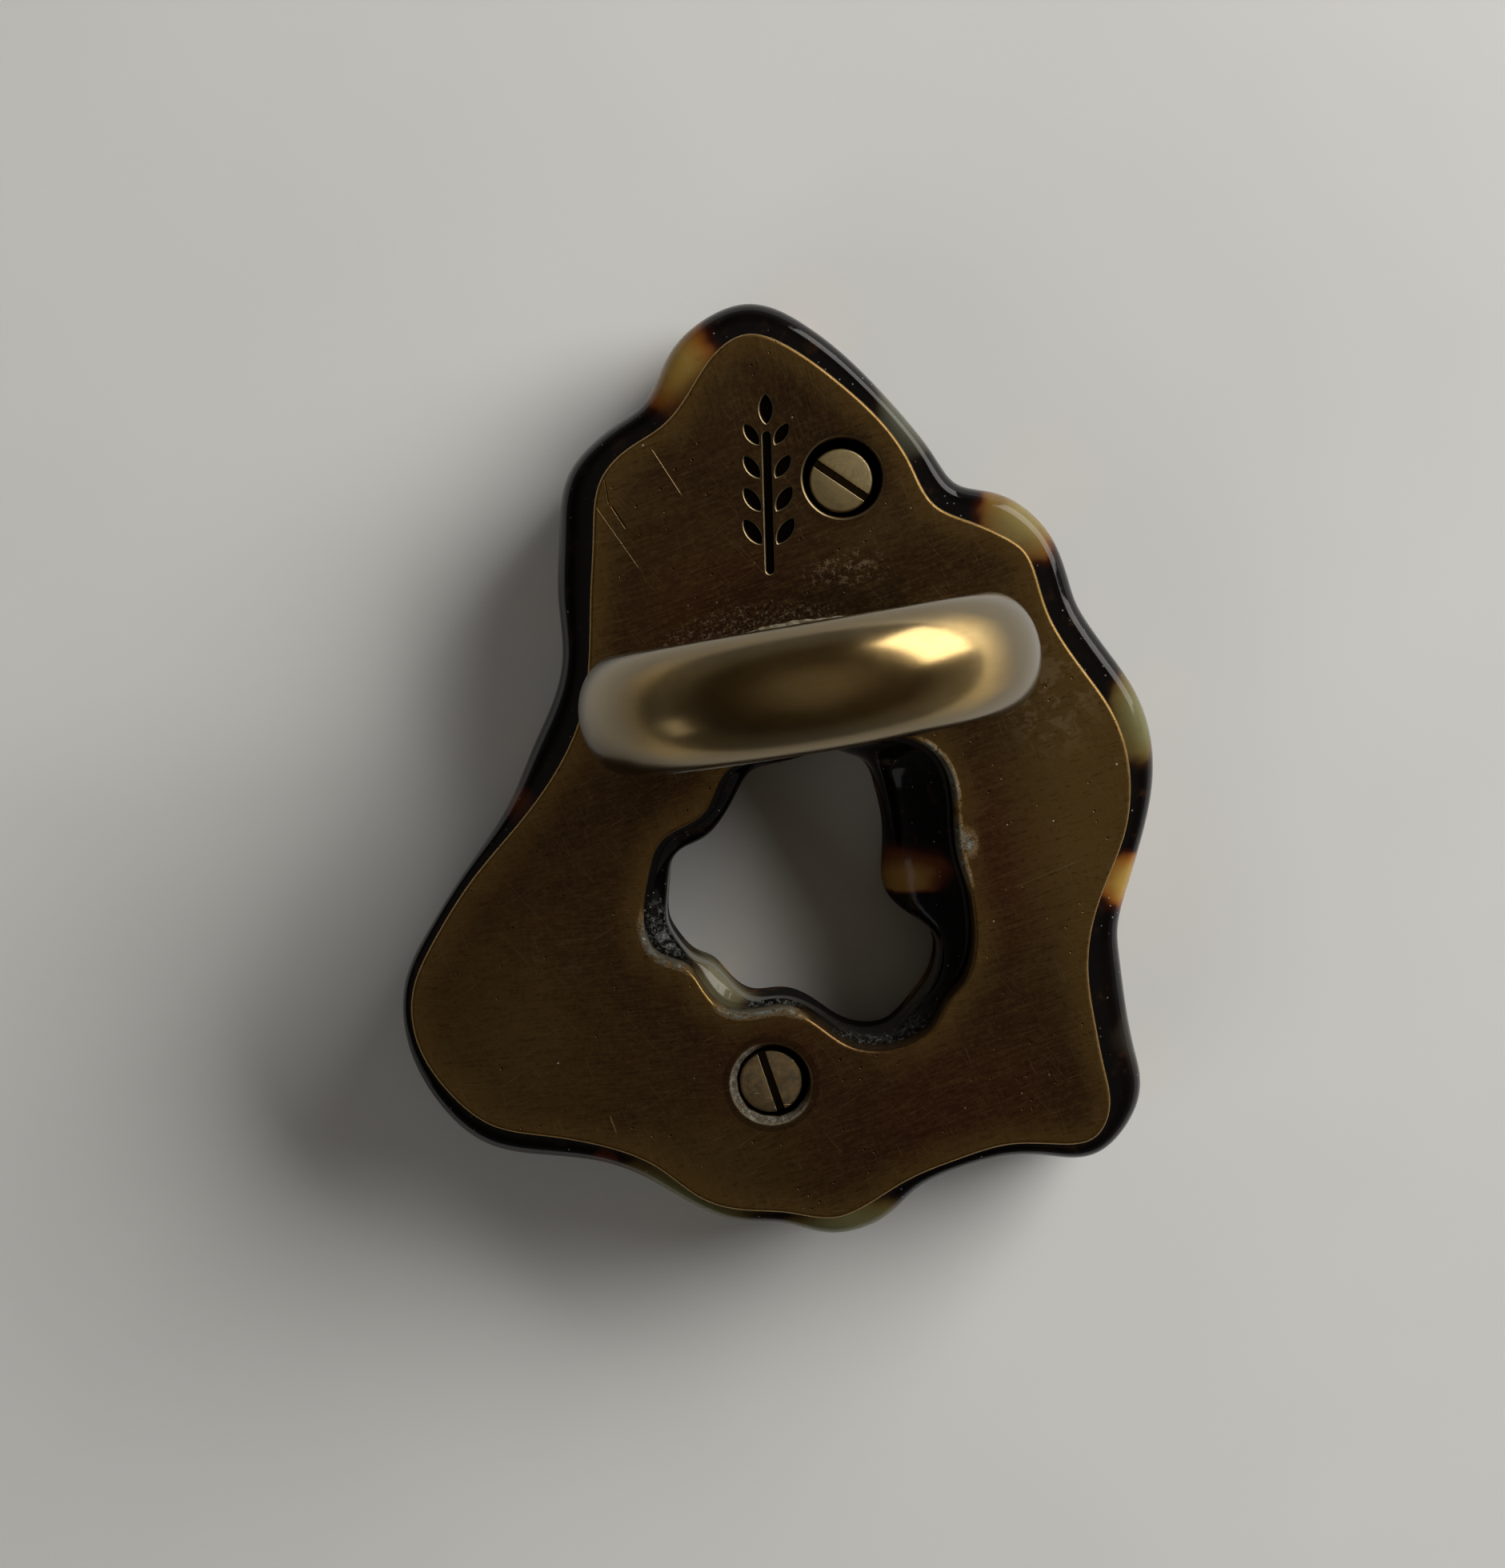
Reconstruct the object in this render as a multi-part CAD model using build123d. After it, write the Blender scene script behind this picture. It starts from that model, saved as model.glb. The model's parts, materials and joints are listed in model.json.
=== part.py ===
"""Statement finger ring: a tortoiseshell acetate slab screwed to a brass back plate that carries the band.

Millimetres.  The origin is the centre of the finger bore, +Y runs along the bore, and +Z points away from the
ornament, so the ring lies face down on its slab.
"""

from build123d import *
import math
import os

# ---------------------------------------------------------------- driving dimensions
BORE_RADIUS = 8.25          # finger bore: 16.5 mm inside diameter
BORE_EDGE = 0.35            # rounding at both mouths of the bore
BAND_WIDTH = 5.8            # along the bore
BAND_RIM = 0.75             # straight sides of the section, next to the bore
BAND_CROWN = 2.2            # rise of the half-oval outside
BAND_LIFT = 9.45            # bore centre above the plate's face

PLATE_THICKNESS = 2.0
PLATE_EDGE = 0.2            # rounding of the plate's exposed edges
SLAB_THICKNESS = 6.0
SLAB_REVEAL = 0.3           # slab that shows beside the plate before its edge rolls over
ROLL_FULLNESS = 2.8         # of the slab's rolled edges: 2 is a plain oval, more is fuller
ROLL_REACHES = (0.0, 0.3, 0.6, 0.82, 0.95)    # shares of a roll's width at which it is drawn
SLAB_SHOULDER = 2.0         # depth of the back edge's roll, down to the widest contour
FRONT_INSET = 0.4           # front face inside the plate's outline, after the front edge's roll
WAIST_LIFT = 1.2            # narrowest contour of the slab's hole above the front face
FRONT_FLARE = 0.8           # roll of the hole's front edge
HOLE_SLOPE = 32.0           # fall of the hole's wall before it turns down to the waist, degrees
HOLE_CORNER = 5.0           # how sharply it turns
HOLE_DEPTHS = (0.0, 0.15, 0.5, 1.0, 1.6, 2.4, 3.4)

SCREWS = {"upper": ((3.8, 10.0), -43.5), "lower": ((-5.15, -20.65), -80.5)}    # centre, slot angle
HEAD_RADIUS = 1.66
HEAD_HEIGHT = 0.85
HEAD_CHAMFER = 0.1
SLOT_WIDTH = 0.42
SLOT_DEPTH = 0.45
SHANK_RADIUS = 0.98
SHANK_LENGTH = 3.9
COUNTERBORE_RADIUS = 2.05
COUNTERBORE_DEPTH = 1.2
CLEARANCE_RADIUS = 1.15
INSERT_RADIUS = 1.8
INSERT_LENGTH = 3.5
INSERT_BORE = 1.0
INSERT_GROOVE = 0.25        # depth of the grooves that key the insert into the slab
POCKET_DEPTH = 3.6

SOLDER_STEPS = ((0.32, 0.18), (0.16, 0.38))    # reach beyond the band, height above the plate

SPRIG_BASE = (-0.75, 5.7)   # engraved leaf sprig on the plate
SPRIG_TIP = (0.55, 14.9)
SPRIG_DEPTH = 0.3
STEM_WIDTH = 0.42
LEAF_LENGTH = 1.55
LEAF_WIDTH = 0.66
LEAF_ANGLE = 34.0
LEAF_GAP = 0.75             # from the stem's axis to a leaf's root
LEAF_SHRINK = 0.06          # how much shorter each pair is than the one below it
LEAF_PAIRS = 4

# ---------------------------------------------------------------- levels, from the plate's face down
FACE_Z = -BAND_LIFT
SLAB_BACK_Z = FACE_Z - PLATE_THICKNESS
SLAB_WIDEST_Z = SLAB_BACK_Z - SLAB_SHOULDER
SLAB_FRONT_Z = SLAB_BACK_Z - SLAB_THICKNESS
WAIST_Z = SLAB_FRONT_Z + WAIST_LIFT
SIDE_RADIUS = BORE_RADIUS + BAND_RIM
CROWN_RADIUS = SIDE_RADIUS + BAND_CROWN
BODY_REACH = 40.0           # larger than the ring, for cutting tools

# The plate's free-form outline, clockwise from its top: x, y and how far the slab's widest contour stands out.
OUTLINE = [
    (0.0, 18.1, 2.0), (2.3, 17.0, 1.8), (4.4, 14.9, 1.6), (6.2, 12.6, 1.4), (7.4, 10.1, 1.6),
    (8.3, 7.8, 1.9), (9.9, 6.7, 2.0), (11.6, 5.6, 2.2), (12.5, 4.7, 2.0), (12.9, 3.3, 2.0),
    (13.2, 1.3, 2.0), (13.8, -0.4, 2.0), (14.8, -2.4, 2.0), (15.6, -4.1, 2.0), (16.1, -6.4, 1.9),
    (16.0, -8.4, 1.7), (15.3, -10.8, 1.5), (14.1, -12.9, 1.7), (12.9, -15.2, 1.9), (12.3, -17.4, 2.2),
    (12.2, -20.3, 2.2), (12.3, -22.9, 2.2), (12.2, -25.1, 2.0), (11.2, -26.4, 1.6), (9.1, -26.4, 1.3),
    (6.6, -26.0, 1.3), (4.0, -26.3, 1.2), (1.0, -27.0, 1.4), (-1.2, -27.9, 1.8), (-3.0, -28.3, 1.6),
    (-5.5, -27.6, 1.3), (-8.0, -27.0, 1.3), (-9.8, -26.1, 1.1), (-11.8, -24.1, 1.4), (-14.4, -22.5, 1.5),
    (-17.4, -21.4, 1.7), (-20.0, -20.4, 1.7), (-22.0, -18.2, 1.4), (-23.1, -15.6, 1.0), (-22.9, -12.7, 0.8),
    (-21.4, -10.3, 0.7), (-18.7, -7.3, 0.7), (-15.9, -4.9, 1.1), (-13.4, -2.4, 1.8), (-11.7, 0.2, 1.8),
    (-10.8, 3.0, 1.6), (-10.2, 6.0, 1.9), (-9.5, 9.2, 2.0), (-8.6, 12.0, 1.9), (-7.0, 13.3, 1.7),
    (-5.0, 14.2, 1.8), (-3.5, 15.5, 2.0), (-1.7, 17.4, 2.1),
]

# The opening, clockwise from its top right: the plate's edge, then the slab's narrowest contour beside it.
OPENING = [
    ((5.0, -4.0), (1.9, -4.5)), ((6.3, -5.1), (2.8, -5.2)), ((6.8, -6.6), (3.1, -6.5)),
    ((6.7, -8.6), (3.2, -8.3)), ((6.6, -10.8), (2.9, -10.3)), ((6.8, -12.4), (2.7, -11.9)),
    ((6.8, -13.6), (3.2, -13.1)), ((6.7, -14.7), (4.3, -14.1)), ((6.4, -15.9), (4.9, -15.2)),
    ((5.7, -17.1), (4.6, -16.6)), ((4.6, -18.1), (3.8, -17.7)), ((3.8, -19.1), (2.8, -18.6)),
    ((2.7, -19.7), (1.8, -19.3)), ((1.0, -19.9), (0.4, -19.4)), ((-0.7, -19.4), (-0.9, -18.8)),
    ((-2.3, -17.9), (-2.3, -17.5)), ((-3.8, -16.9), (-3.8, -16.7)), ((-5.4, -16.8), (-5.4, -16.5)),
    ((-6.8, -16.5), (-6.4, -15.6)), ((-7.8, -15.2), (-7.2, -14.4)), ((-8.6, -13.8), (-8.2, -13.7)),
    ((-9.8, -13.1), (-8.9, -12.6)), ((-10.4, -11.7), (-9.2, -11.4)), ((-10.2, -10.3), (-8.9, -9.9)),
    ((-9.6, -8.6), (-8.4, -8.4)), ((-8.7, -7.1), (-7.5, -7.8)), ((-7.3, -6.5), (-6.3, -7.4)),
    ((-6.1, -5.9), (-5.2, -6.4)), ((-5.4, -4.9), (-4.4, -5.4)), ((-4.6, -4.0), (-3.6, -4.5)),
    ((-3.0, -3.6), (-2.4, -4.2)), ((0.0, -3.6), (-0.4, -4.0)), ((3.0, -3.6), (0.9, -4.0)),
]


# ---------------------------------------------------------------- outlines
def unit(vector):
    """The vector at length one."""
    length = math.hypot(vector[0], vector[1])
    return (vector[0] / length, vector[1] / length)


def outward_normals(points):
    """The outward direction at each point of a clockwise outline."""
    normals = []
    for index, (x, y) in enumerate(points):
        before = points[index - 1]
        after = points[(index + 1) % len(points)]
        arriving = unit((x - before[0], y - before[1]))
        leaving = unit((after[0] - x, after[1] - y))
        along = unit((arriving[0] + leaving[0], arriving[1] + leaving[1]))
        normals.append((-along[1], along[0]))
    return normals


def grown(points, distances):
    """The outline with each point moved outwards by its own distance."""
    moved = []
    for (x, y), (nx, ny), distance in zip(points, outward_normals(points), distances):
        moved.append((x + nx * distance, y + ny * distance))
    return moved


def blended(first, second, share):
    """The outline a share of the way from the first to the second."""
    return [
        (ax + (bx - ax) * share, ay + (by - ay) * share) for (ax, ay), (bx, by) in zip(first, second)
    ]


def spacing(points):
    """Spline parameters that follow the distances round a closed outline."""
    values = [0.0]
    for index, point in enumerate(points):
        after = points[(index + 1) % len(points)]
        values.append(values[-1] + math.dist(point, after))
    return [value / values[-1] for value in values]


def closed_wire(points, z, parameters):
    """A smooth closed wire through the outline's points, at one level."""
    return Wire([Edge.make_spline([(x, y, z) for x, y in points], periodic=True, parameters=parameters)])


PLATE_OUTLINE = [(x, y) for x, y, _ in OUTLINE]
SLAB_WIDEST = grown(PLATE_OUTLINE, [lip for _, _, lip in OUTLINE])
PLATE_OPENING = [edge for edge, _ in OPENING]
SLAB_WAIST = [waist for _, waist in OPENING]
OUTLINE_SPACING = spacing(PLATE_OUTLINE)
OPENING_SPACING = spacing(PLATE_OPENING)


# ---------------------------------------------------------------- slab
def hollowed(mouth, waist, depth):
    """The hole's outline at a depth: its wall slopes in from the mouth and turns down at the waist."""
    outline = []
    for start, end in zip(mouth, waist):
        share = depth / math.tan(math.radians(HOLE_SLOPE)) / math.dist(start, end)
        share /= (1.0 + share**HOLE_CORNER) ** (1.0 / HOLE_CORNER)
        outline.append((start[0] + (end[0] - start[0]) * share, start[1] + (end[1] - start[1]) * share))
    return outline


def rolled_sections(flat, bulged, flat_z, bulged_z, parameters):
    """Wires round a full quarter-oval roll, from the edge of a flat face to the contour it rolls to."""
    wires = []
    for reach in ROLL_REACHES:
        rise = (1.0 - reach**ROLL_FULLNESS) ** (1.0 / ROLL_FULLNESS)
        wires.append(closed_wire(blended(flat, bulged, reach), bulged_z + (flat_z - bulged_z) * rise, parameters))
    return wires


def make_slab():
    """Pebble-edged slab with its rolled opening and the two blind pockets for the inserts."""
    count = len(OUTLINE)
    back = grown(PLATE_OUTLINE, [SLAB_REVEAL] * count)
    front = grown(PLATE_OUTLINE, [-FRONT_INSET] * count)
    widest = closed_wire(SLAB_WIDEST, SLAB_WIDEST_Z, OUTLINE_SPACING)
    upper = rolled_sections(back, SLAB_WIDEST, SLAB_BACK_Z, SLAB_WIDEST_Z, OUTLINE_SPACING)
    lower = rolled_sections(front, SLAB_WIDEST, SLAB_FRONT_Z, SLAB_WIDEST_Z, OUTLINE_SPACING)
    body = Solid.make_loft(upper + [widest] + lower[::-1])

    count = len(OPENING)
    mouth = grown(PLATE_OPENING, [-SLAB_REVEAL] * count)
    flare = grown(SLAB_WAIST, [FRONT_FLARE] * count)
    waist = closed_wire(SLAB_WAIST, WAIST_Z, OPENING_SPACING)
    upper = []
    for depth in HOLE_DEPTHS:
        upper.append(closed_wire(hollowed(mouth, SLAB_WAIST, depth), SLAB_BACK_Z - depth, OPENING_SPACING))
    lower = rolled_sections(flare, SLAB_WAIST, SLAB_FRONT_Z, WAIST_Z, OPENING_SPACING)
    opening = Solid.make_loft(upper + [waist] + lower[::-1])

    slab = Part() + body - opening
    for (x, y), _ in SCREWS.values():
        slab -= Pos(x, y, SLAB_BACK_Z - POCKET_DEPTH / 2) * Cylinder(INSERT_RADIUS, POCKET_DEPTH)
    return slab


# ---------------------------------------------------------------- plate
def leaf(x, y, angle, length):
    """A lens-shaped leaf that starts a little way out from a point on the stem's axis, as a flat face."""
    half = LEAF_WIDTH / 2 * length / LEAF_LENGTH
    upper = ThreePointArc((0, 0), (length / 2, half), (length, 0))
    lower = ThreePointArc((length, 0), (length / 2, -half), (0, 0))
    return Pos(x, y, FACE_Z) * Rot(0, 0, angle) * Pos(LEAF_GAP, 0, 0) * make_face(upper + lower)


def make_sprig():
    """Cutting tool for the engraved ornament: a stem, pairs of separate leaves and one past its tip."""
    (x0, y0), (x1, y1) = SPRIG_BASE, SPRIG_TIP
    heading = math.degrees(math.atan2(y1 - y0, x1 - x0))
    length = math.dist(SPRIG_BASE, SPRIG_TIP)
    stem_length = length - LEAF_LENGTH - LEAF_GAP / 2
    stem = Pos(x0, y0, FACE_Z) * Rot(0, 0, heading) * Pos(stem_length / 2, 0, 0)
    faces = stem * SlotOverall(stem_length, STEM_WIDTH)
    pitch = stem_length / (LEAF_PAIRS + 0.3)
    for pair in range(LEAF_PAIRS):
        share = (pair + 0.55) * pitch / length
        x = x0 + (x1 - x0) * share
        y = y0 + (y1 - y0) * share
        for side in (-1, 1):
            faces += leaf(x, y, heading + side * LEAF_ANGLE, LEAF_LENGTH * (1 - LEAF_SHRINK * pair))
    share = (length - LEAF_LENGTH - LEAF_GAP) / length
    faces += leaf(x0 + (x1 - x0) * share, y0 + (y1 - y0) * share, heading, LEAF_LENGTH)
    return extrude(faces, amount=SPRIG_DEPTH, dir=(0, 0, -1))


def make_plate():
    """Back plate with rounded edges, the opening, two counterbored screw holes and the engraving."""
    outline = closed_wire(PLATE_OUTLINE, SLAB_BACK_Z, OUTLINE_SPACING)
    opening = closed_wire(PLATE_OPENING, SLAB_BACK_Z, OPENING_SPACING)
    plate = extrude(Face(outline, [opening]), amount=PLATE_THICKNESS, dir=(0, 0, 1))
    plate = fillet(plate.edges().group_by(Axis.Z)[-1], PLATE_EDGE)
    for (x, y), _ in SCREWS.values():
        plate -= Pos(x, y, FACE_Z) * Cylinder(CLEARANCE_RADIUS, 3 * PLATE_THICKNESS)
        plate -= Pos(x, y, FACE_Z) * Cylinder(COUNTERBORE_RADIUS, 2 * COUNTERBORE_DEPTH)
    return plate - make_sprig()


# ---------------------------------------------------------------- band
def band_blank(reach=0.0):
    """The full band before its foot is flattened, its outside larger by a given reach."""
    half = BAND_WIDTH / 2 + reach
    inner = BORE_RADIUS
    side = SIDE_RADIUS
    edge = BORE_EDGE
    profile = [
        Line((inner, -half + edge), (inner, half - edge)),
        CenterArc((inner + edge, half - edge), edge, 90, 90),
        Line((inner + edge, half), (side, half)),
        EllipticalCenterArc((side, 0), BAND_CROWN + reach, half, -90, arc_size=180),
        Line((side, -half), (inner + edge, -half)),
        CenterArc((inner + edge, -half + edge), edge, 180, 90),
    ]
    return revolve(make_face(profile), Axis.Y, 360)


def slice_between(low, high):
    """A block that holds everything between two levels."""
    return Pos(0, 0, (low + high) / 2) * Box(BODY_REACH, BODY_REACH, high - low)


def make_band():
    """Half-oval band with its foot flattened where it stands on the plate."""
    return band_blank() - slice_between(FACE_Z - BAND_CROWN, FACE_Z)


def make_solder():
    """Braze run into the corner all round the band's foot."""
    seam = Part()
    for reach, height in SOLDER_STEPS:
        seam += band_blank(reach) & slice_between(FACE_Z, FACE_Z + height)
    return seam - band_blank()


# ---------------------------------------------------------------- fasteners
def make_screw(centre, slot_angle):
    """Slotted cheese-head screw, its head on the counterbore's floor."""
    seat_z = FACE_Z - COUNTERBORE_DEPTH
    head = Cylinder(HEAD_RADIUS, HEAD_HEIGHT, align=(Align.CENTER, Align.CENTER, Align.MIN))
    head = chamfer(head.edges().group_by(Axis.Z)[-1], HEAD_CHAMFER)
    head -= Pos(0, 0, HEAD_HEIGHT) * Rot(0, 0, slot_angle) * Box(4 * HEAD_RADIUS, SLOT_WIDTH, 2 * SLOT_DEPTH)
    shank = Cylinder(SHANK_RADIUS, SHANK_LENGTH, align=(Align.CENTER, Align.CENTER, Align.MAX))
    shank = chamfer(shank.edges().group_by(Axis.Z)[0], SHANK_RADIUS / 4)
    return Pos(centre[0], centre[1], seat_z) * (head + shank)


def make_insert(centre):
    """Threaded insert with two keying grooves, flush with the slab's back face."""
    insert = Cylinder(INSERT_RADIUS, INSERT_LENGTH, align=(Align.CENTER, Align.CENTER, Align.MAX))
    insert -= Cylinder(INSERT_BORE, 3 * INSERT_LENGTH)
    land = INSERT_LENGTH / 5
    for groove in (1, 3):
        ring = Cylinder(2 * INSERT_RADIUS, land) - Cylinder(INSERT_RADIUS - INSERT_GROOVE, land)
        insert -= Pos(0, 0, -(groove + 0.5) * land) * ring
    return Pos(centre[0], centre[1], SLAB_BACK_Z) * insert


# ---------------------------------------------------------------- write the sub-parts
def main():
    parts = {
        "finger_band": make_band(),
        "band_solder": make_solder(),
        "back_plate": make_plate(),
        "tortoiseshell_slab": make_slab(),
    }
    for name, (centre, slot_angle) in SCREWS.items():
        parts[f"{name}_screw"] = make_screw(centre, slot_angle)
        parts[f"{name}_insert"] = make_insert(centre)

    os.makedirs("parts", exist_ok=True)
    for name, part in parts.items():
        export_step(part, f"parts/{name}.step")


main()
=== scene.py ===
"""Looks of a statement finger ring: tortoiseshell slab, brushed brass back plate, polished half-oval band.

The scene is in metres, in the frame's axes.  Outlines and small sizes are in millimetres and go through MM.
"""

import json
import math

import bmesh
import bpy
import numpy as np
from mathutils import Euler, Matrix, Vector
from mathutils.geometry import delaunay_2d_cdt


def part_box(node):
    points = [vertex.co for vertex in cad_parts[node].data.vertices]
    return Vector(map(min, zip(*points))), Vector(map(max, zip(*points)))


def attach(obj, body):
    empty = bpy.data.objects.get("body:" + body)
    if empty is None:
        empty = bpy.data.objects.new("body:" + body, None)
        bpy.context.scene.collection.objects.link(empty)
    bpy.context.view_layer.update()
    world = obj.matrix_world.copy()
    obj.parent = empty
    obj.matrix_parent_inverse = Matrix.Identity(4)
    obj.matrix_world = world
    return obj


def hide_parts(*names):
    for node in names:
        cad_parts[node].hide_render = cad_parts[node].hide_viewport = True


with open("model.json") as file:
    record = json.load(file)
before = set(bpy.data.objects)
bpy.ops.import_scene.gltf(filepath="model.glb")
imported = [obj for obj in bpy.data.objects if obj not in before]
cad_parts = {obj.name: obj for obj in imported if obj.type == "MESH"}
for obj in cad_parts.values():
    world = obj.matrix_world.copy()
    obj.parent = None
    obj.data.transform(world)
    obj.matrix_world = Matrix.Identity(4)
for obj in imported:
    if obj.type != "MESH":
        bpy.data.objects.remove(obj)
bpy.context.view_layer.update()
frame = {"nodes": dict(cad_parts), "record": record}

MM = 0.001
BODY = "root"

# ---- sizes, read from the frame
mounts = {mount["name"]: mount for mount in frame["record"]["mounts"]}
FACE_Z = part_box("back_plate")[1].z / MM             # the plate's exposed face
PLATE_BACK_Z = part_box("back_plate")[0].z / MM       # where the plate lies on the slab
FRONT_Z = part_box("tortoiseshell_slab")[0].z / MM    # the slab's front face, which the ring lies on
BORE_RADIUS = mounts["finger_bore"]["dims"]["r_mm"]
BORE_LENGTH = mounts["finger_bore"]["dims"]["length_mm"]
CROWN_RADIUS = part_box("finger_band")[1].x / MM
HALF_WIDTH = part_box("finger_band")[1].y / MM

# ---- small sizes, mm
BORE_EDGE = HALF_WIDTH - BORE_LENGTH / 2
BAND_RIM = 0.75             # straight sides of the band's section
PLATE_EDGE = 0.2            # rounding of the plate's exposed edges
SLAB_REVEAL = 0.3           # from the plate's edges to where the slab's own rounding starts
WIDEST_Z = PLATE_BACK_Z - 2.0       # where the slab's edge stands out furthest
ROLL_FULLNESS = 2.8         # of the slab's rolled edges: 2 is a plain oval
FRONT_INSET = 0.4           # of the flat front face, from the plate's outline
WAIST_LIFT = 1.2            # of the opening's narrowest contour, over the front face
FRONT_FLARE = 0.8           # from there out to the front face
HOLE_SLOPE = 32.0           # fall of the opening's wall before it turns down to the waist, degrees
HOLE_CORNER = 5.0           # how sharply it turns
INSERT_RADIUS = 1.8
POCKET_DEPTH = 3.6
COUNTERBORE_RADIUS = 2.05
COUNTERBORE_DEPTH = 1.2
COUNTERBORE_CHAMFER = 0.16
CLEARANCE_RADIUS = 1.15
HEAD_RADIUS = 1.66
HEAD_HEIGHT = 0.85
HEAD_EDGE = ((0.16, 0.0), (0.05, 0.035), (0.0, 0.12))   # in from the head's side, down from its top
SHANK_RADIUS = 0.98
SHANK_TIP = 0.75            # the tip's radius, as a share of the shank's
SLOT_WIDTH = 0.42
SLOT_DEPTH = 0.45
SOFTENING = 0.03            # of the head's and the slot's edges

# Each screw: how its slot is turned, how far its head sits off its axis, the share of painted shade and
# soiling on its counterbore's wall at the mouth and at the floor, and its material, tint and share of stain.
SLOT_ANGLES = {"upper_screw": -43.5, "lower_screw": -80.5}
HEAD_SHIFTS = {"upper_screw": (-0.12, -0.12), "lower_screw": (0.0, 0.07)}
BORE_GRIME_AND_SHADE = {"upper_screw": (0.15, 0.6), "lower_screw": (0.35, 0.9)}
SCREW_LOOKS = {
    "upper_screw": ("gilt_screw", (0.98, 0.79, 0.42), 0.2),
    "lower_screw": ("dull_screw", (0.78, 0.58, 0.32), 0.75),
}

# Residue packed round a head, thinnest towards an angle: its reach from the wall and depth under the face.
CLOGGED = {"lower_screw": 31}
PACKING = ((0.04, 0.19), (0.14, 0.22), (0.23, 0.30), (0.28, 0.48), (0.29, 1.20))

SPRIG_BASE = (-0.75, 5.7)
SPRIG_TIP = (0.55, 14.9)
SPRIG_DEPTH = 0.3
STEM_WIDTH = 0.42
LEAF_LENGTH = 1.55
LEAF_WIDTH = 0.66
LEAF_ANGLE = 34.0
LEAF_GAP = 0.75             # from the stem's axis to a leaf's root
LEAF_SHRINK = 0.06          # each pair is this much shorter than the one below
LEAF_PAIRS = 4
ENGRAVING_EDGE = 0.08
GRID_PITCH = 0.55           # of the extra points on the plate's face
GRID_CLEARANCE = 0.25       # from its edges

BRAZE_HEIGHT = 0.30
BRAZE_SPREAD = 0.24         # over the plate, from the band's foot
BRAZE_OVERLAP = 0.02        # into the plate, so no gap shows

# The plate's outline, clockwise from its top: x, y and how far out the slab's widest contour is.
OUTLINE = [
    (0.0, 18.1, 2.0), (2.3, 17.0, 1.8), (4.4, 14.9, 1.6), (6.2, 12.6, 1.4), (7.4, 10.1, 1.6),
    (8.3, 7.8, 1.9), (9.9, 6.7, 2.0), (11.6, 5.6, 2.2), (12.5, 4.7, 2.0), (12.9, 3.3, 2.0),
    (13.2, 1.3, 2.0), (13.8, -0.4, 2.0), (14.8, -2.4, 2.0), (15.6, -4.1, 2.0), (16.1, -6.4, 1.9),
    (16.0, -8.4, 1.7), (15.3, -10.8, 1.5), (14.1, -12.9, 1.7), (12.9, -15.2, 1.9), (12.3, -17.4, 2.2),
    (12.2, -20.3, 2.2), (12.3, -22.9, 2.2), (12.2, -25.1, 2.0), (11.2, -26.4, 1.6), (9.1, -26.4, 1.3),
    (6.6, -26.0, 1.3), (4.0, -26.3, 1.2), (1.0, -27.0, 1.4), (-1.2, -27.9, 1.8), (-3.0, -28.3, 1.6),
    (-5.5, -27.6, 1.3), (-8.0, -27.0, 1.3), (-9.8, -26.1, 1.1), (-11.8, -24.1, 1.4), (-14.4, -22.5, 1.5),
    (-17.4, -21.4, 1.7), (-20.0, -20.4, 1.7), (-22.0, -18.2, 1.4), (-23.1, -15.6, 1.0), (-22.9, -12.7, 0.8),
    (-21.4, -10.3, 0.7), (-18.7, -7.3, 0.7), (-15.9, -4.9, 1.1), (-13.4, -2.4, 1.8), (-11.7, 0.2, 1.8),
    (-10.8, 3.0, 1.6), (-10.2, 6.0, 1.9), (-9.5, 9.2, 2.0), (-8.6, 12.0, 1.9), (-7.0, 13.3, 1.7),
    (-5.0, 14.2, 1.8), (-3.5, 15.5, 2.0), (-1.7, 17.4, 2.1),
]

# The opening, clockwise from its top right: the plate's edge, then the slab's narrowest contour beside it.
OPENING = [
    ((5.0, -4.0), (1.9, -4.5)), ((6.3, -5.1), (2.8, -5.2)), ((6.8, -6.6), (3.1, -6.5)),
    ((6.7, -8.6), (3.2, -8.3)), ((6.6, -10.8), (2.9, -10.3)), ((6.8, -12.4), (2.7, -11.9)),
    ((6.8, -13.6), (3.2, -13.1)), ((6.7, -14.7), (4.3, -14.1)), ((6.4, -15.9), (4.9, -15.2)),
    ((5.7, -17.1), (4.6, -16.6)), ((4.6, -18.1), (3.8, -17.7)), ((3.8, -19.1), (2.8, -18.6)),
    ((2.7, -19.7), (1.8, -19.3)), ((1.0, -19.9), (0.4, -19.4)), ((-0.7, -19.4), (-0.9, -18.8)),
    ((-2.3, -17.9), (-2.3, -17.5)), ((-3.8, -16.9), (-3.8, -16.7)), ((-5.4, -16.8), (-5.4, -16.5)),
    ((-6.8, -16.5), (-6.4, -15.6)), ((-7.8, -15.2), (-7.2, -14.4)), ((-8.6, -13.8), (-8.2, -13.7)),
    ((-9.8, -13.1), (-8.9, -12.6)), ((-10.4, -11.7), (-9.2, -11.4)), ((-10.2, -10.3), (-8.9, -9.9)),
    ((-9.6, -8.6), (-8.4, -8.4)), ((-8.7, -7.1), (-7.5, -7.8)), ((-7.3, -6.5), (-6.3, -7.4)),
    ((-6.1, -5.9), (-5.2, -6.4)), ((-5.4, -4.9), (-4.4, -5.4)), ((-4.6, -4.0), (-3.6, -4.5)),
    ((-3.0, -3.6), (-2.4, -4.2)), ((0.0, -3.6), (-0.4, -4.0)), ((3.0, -3.6), (0.9, -4.0)),
]


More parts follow.
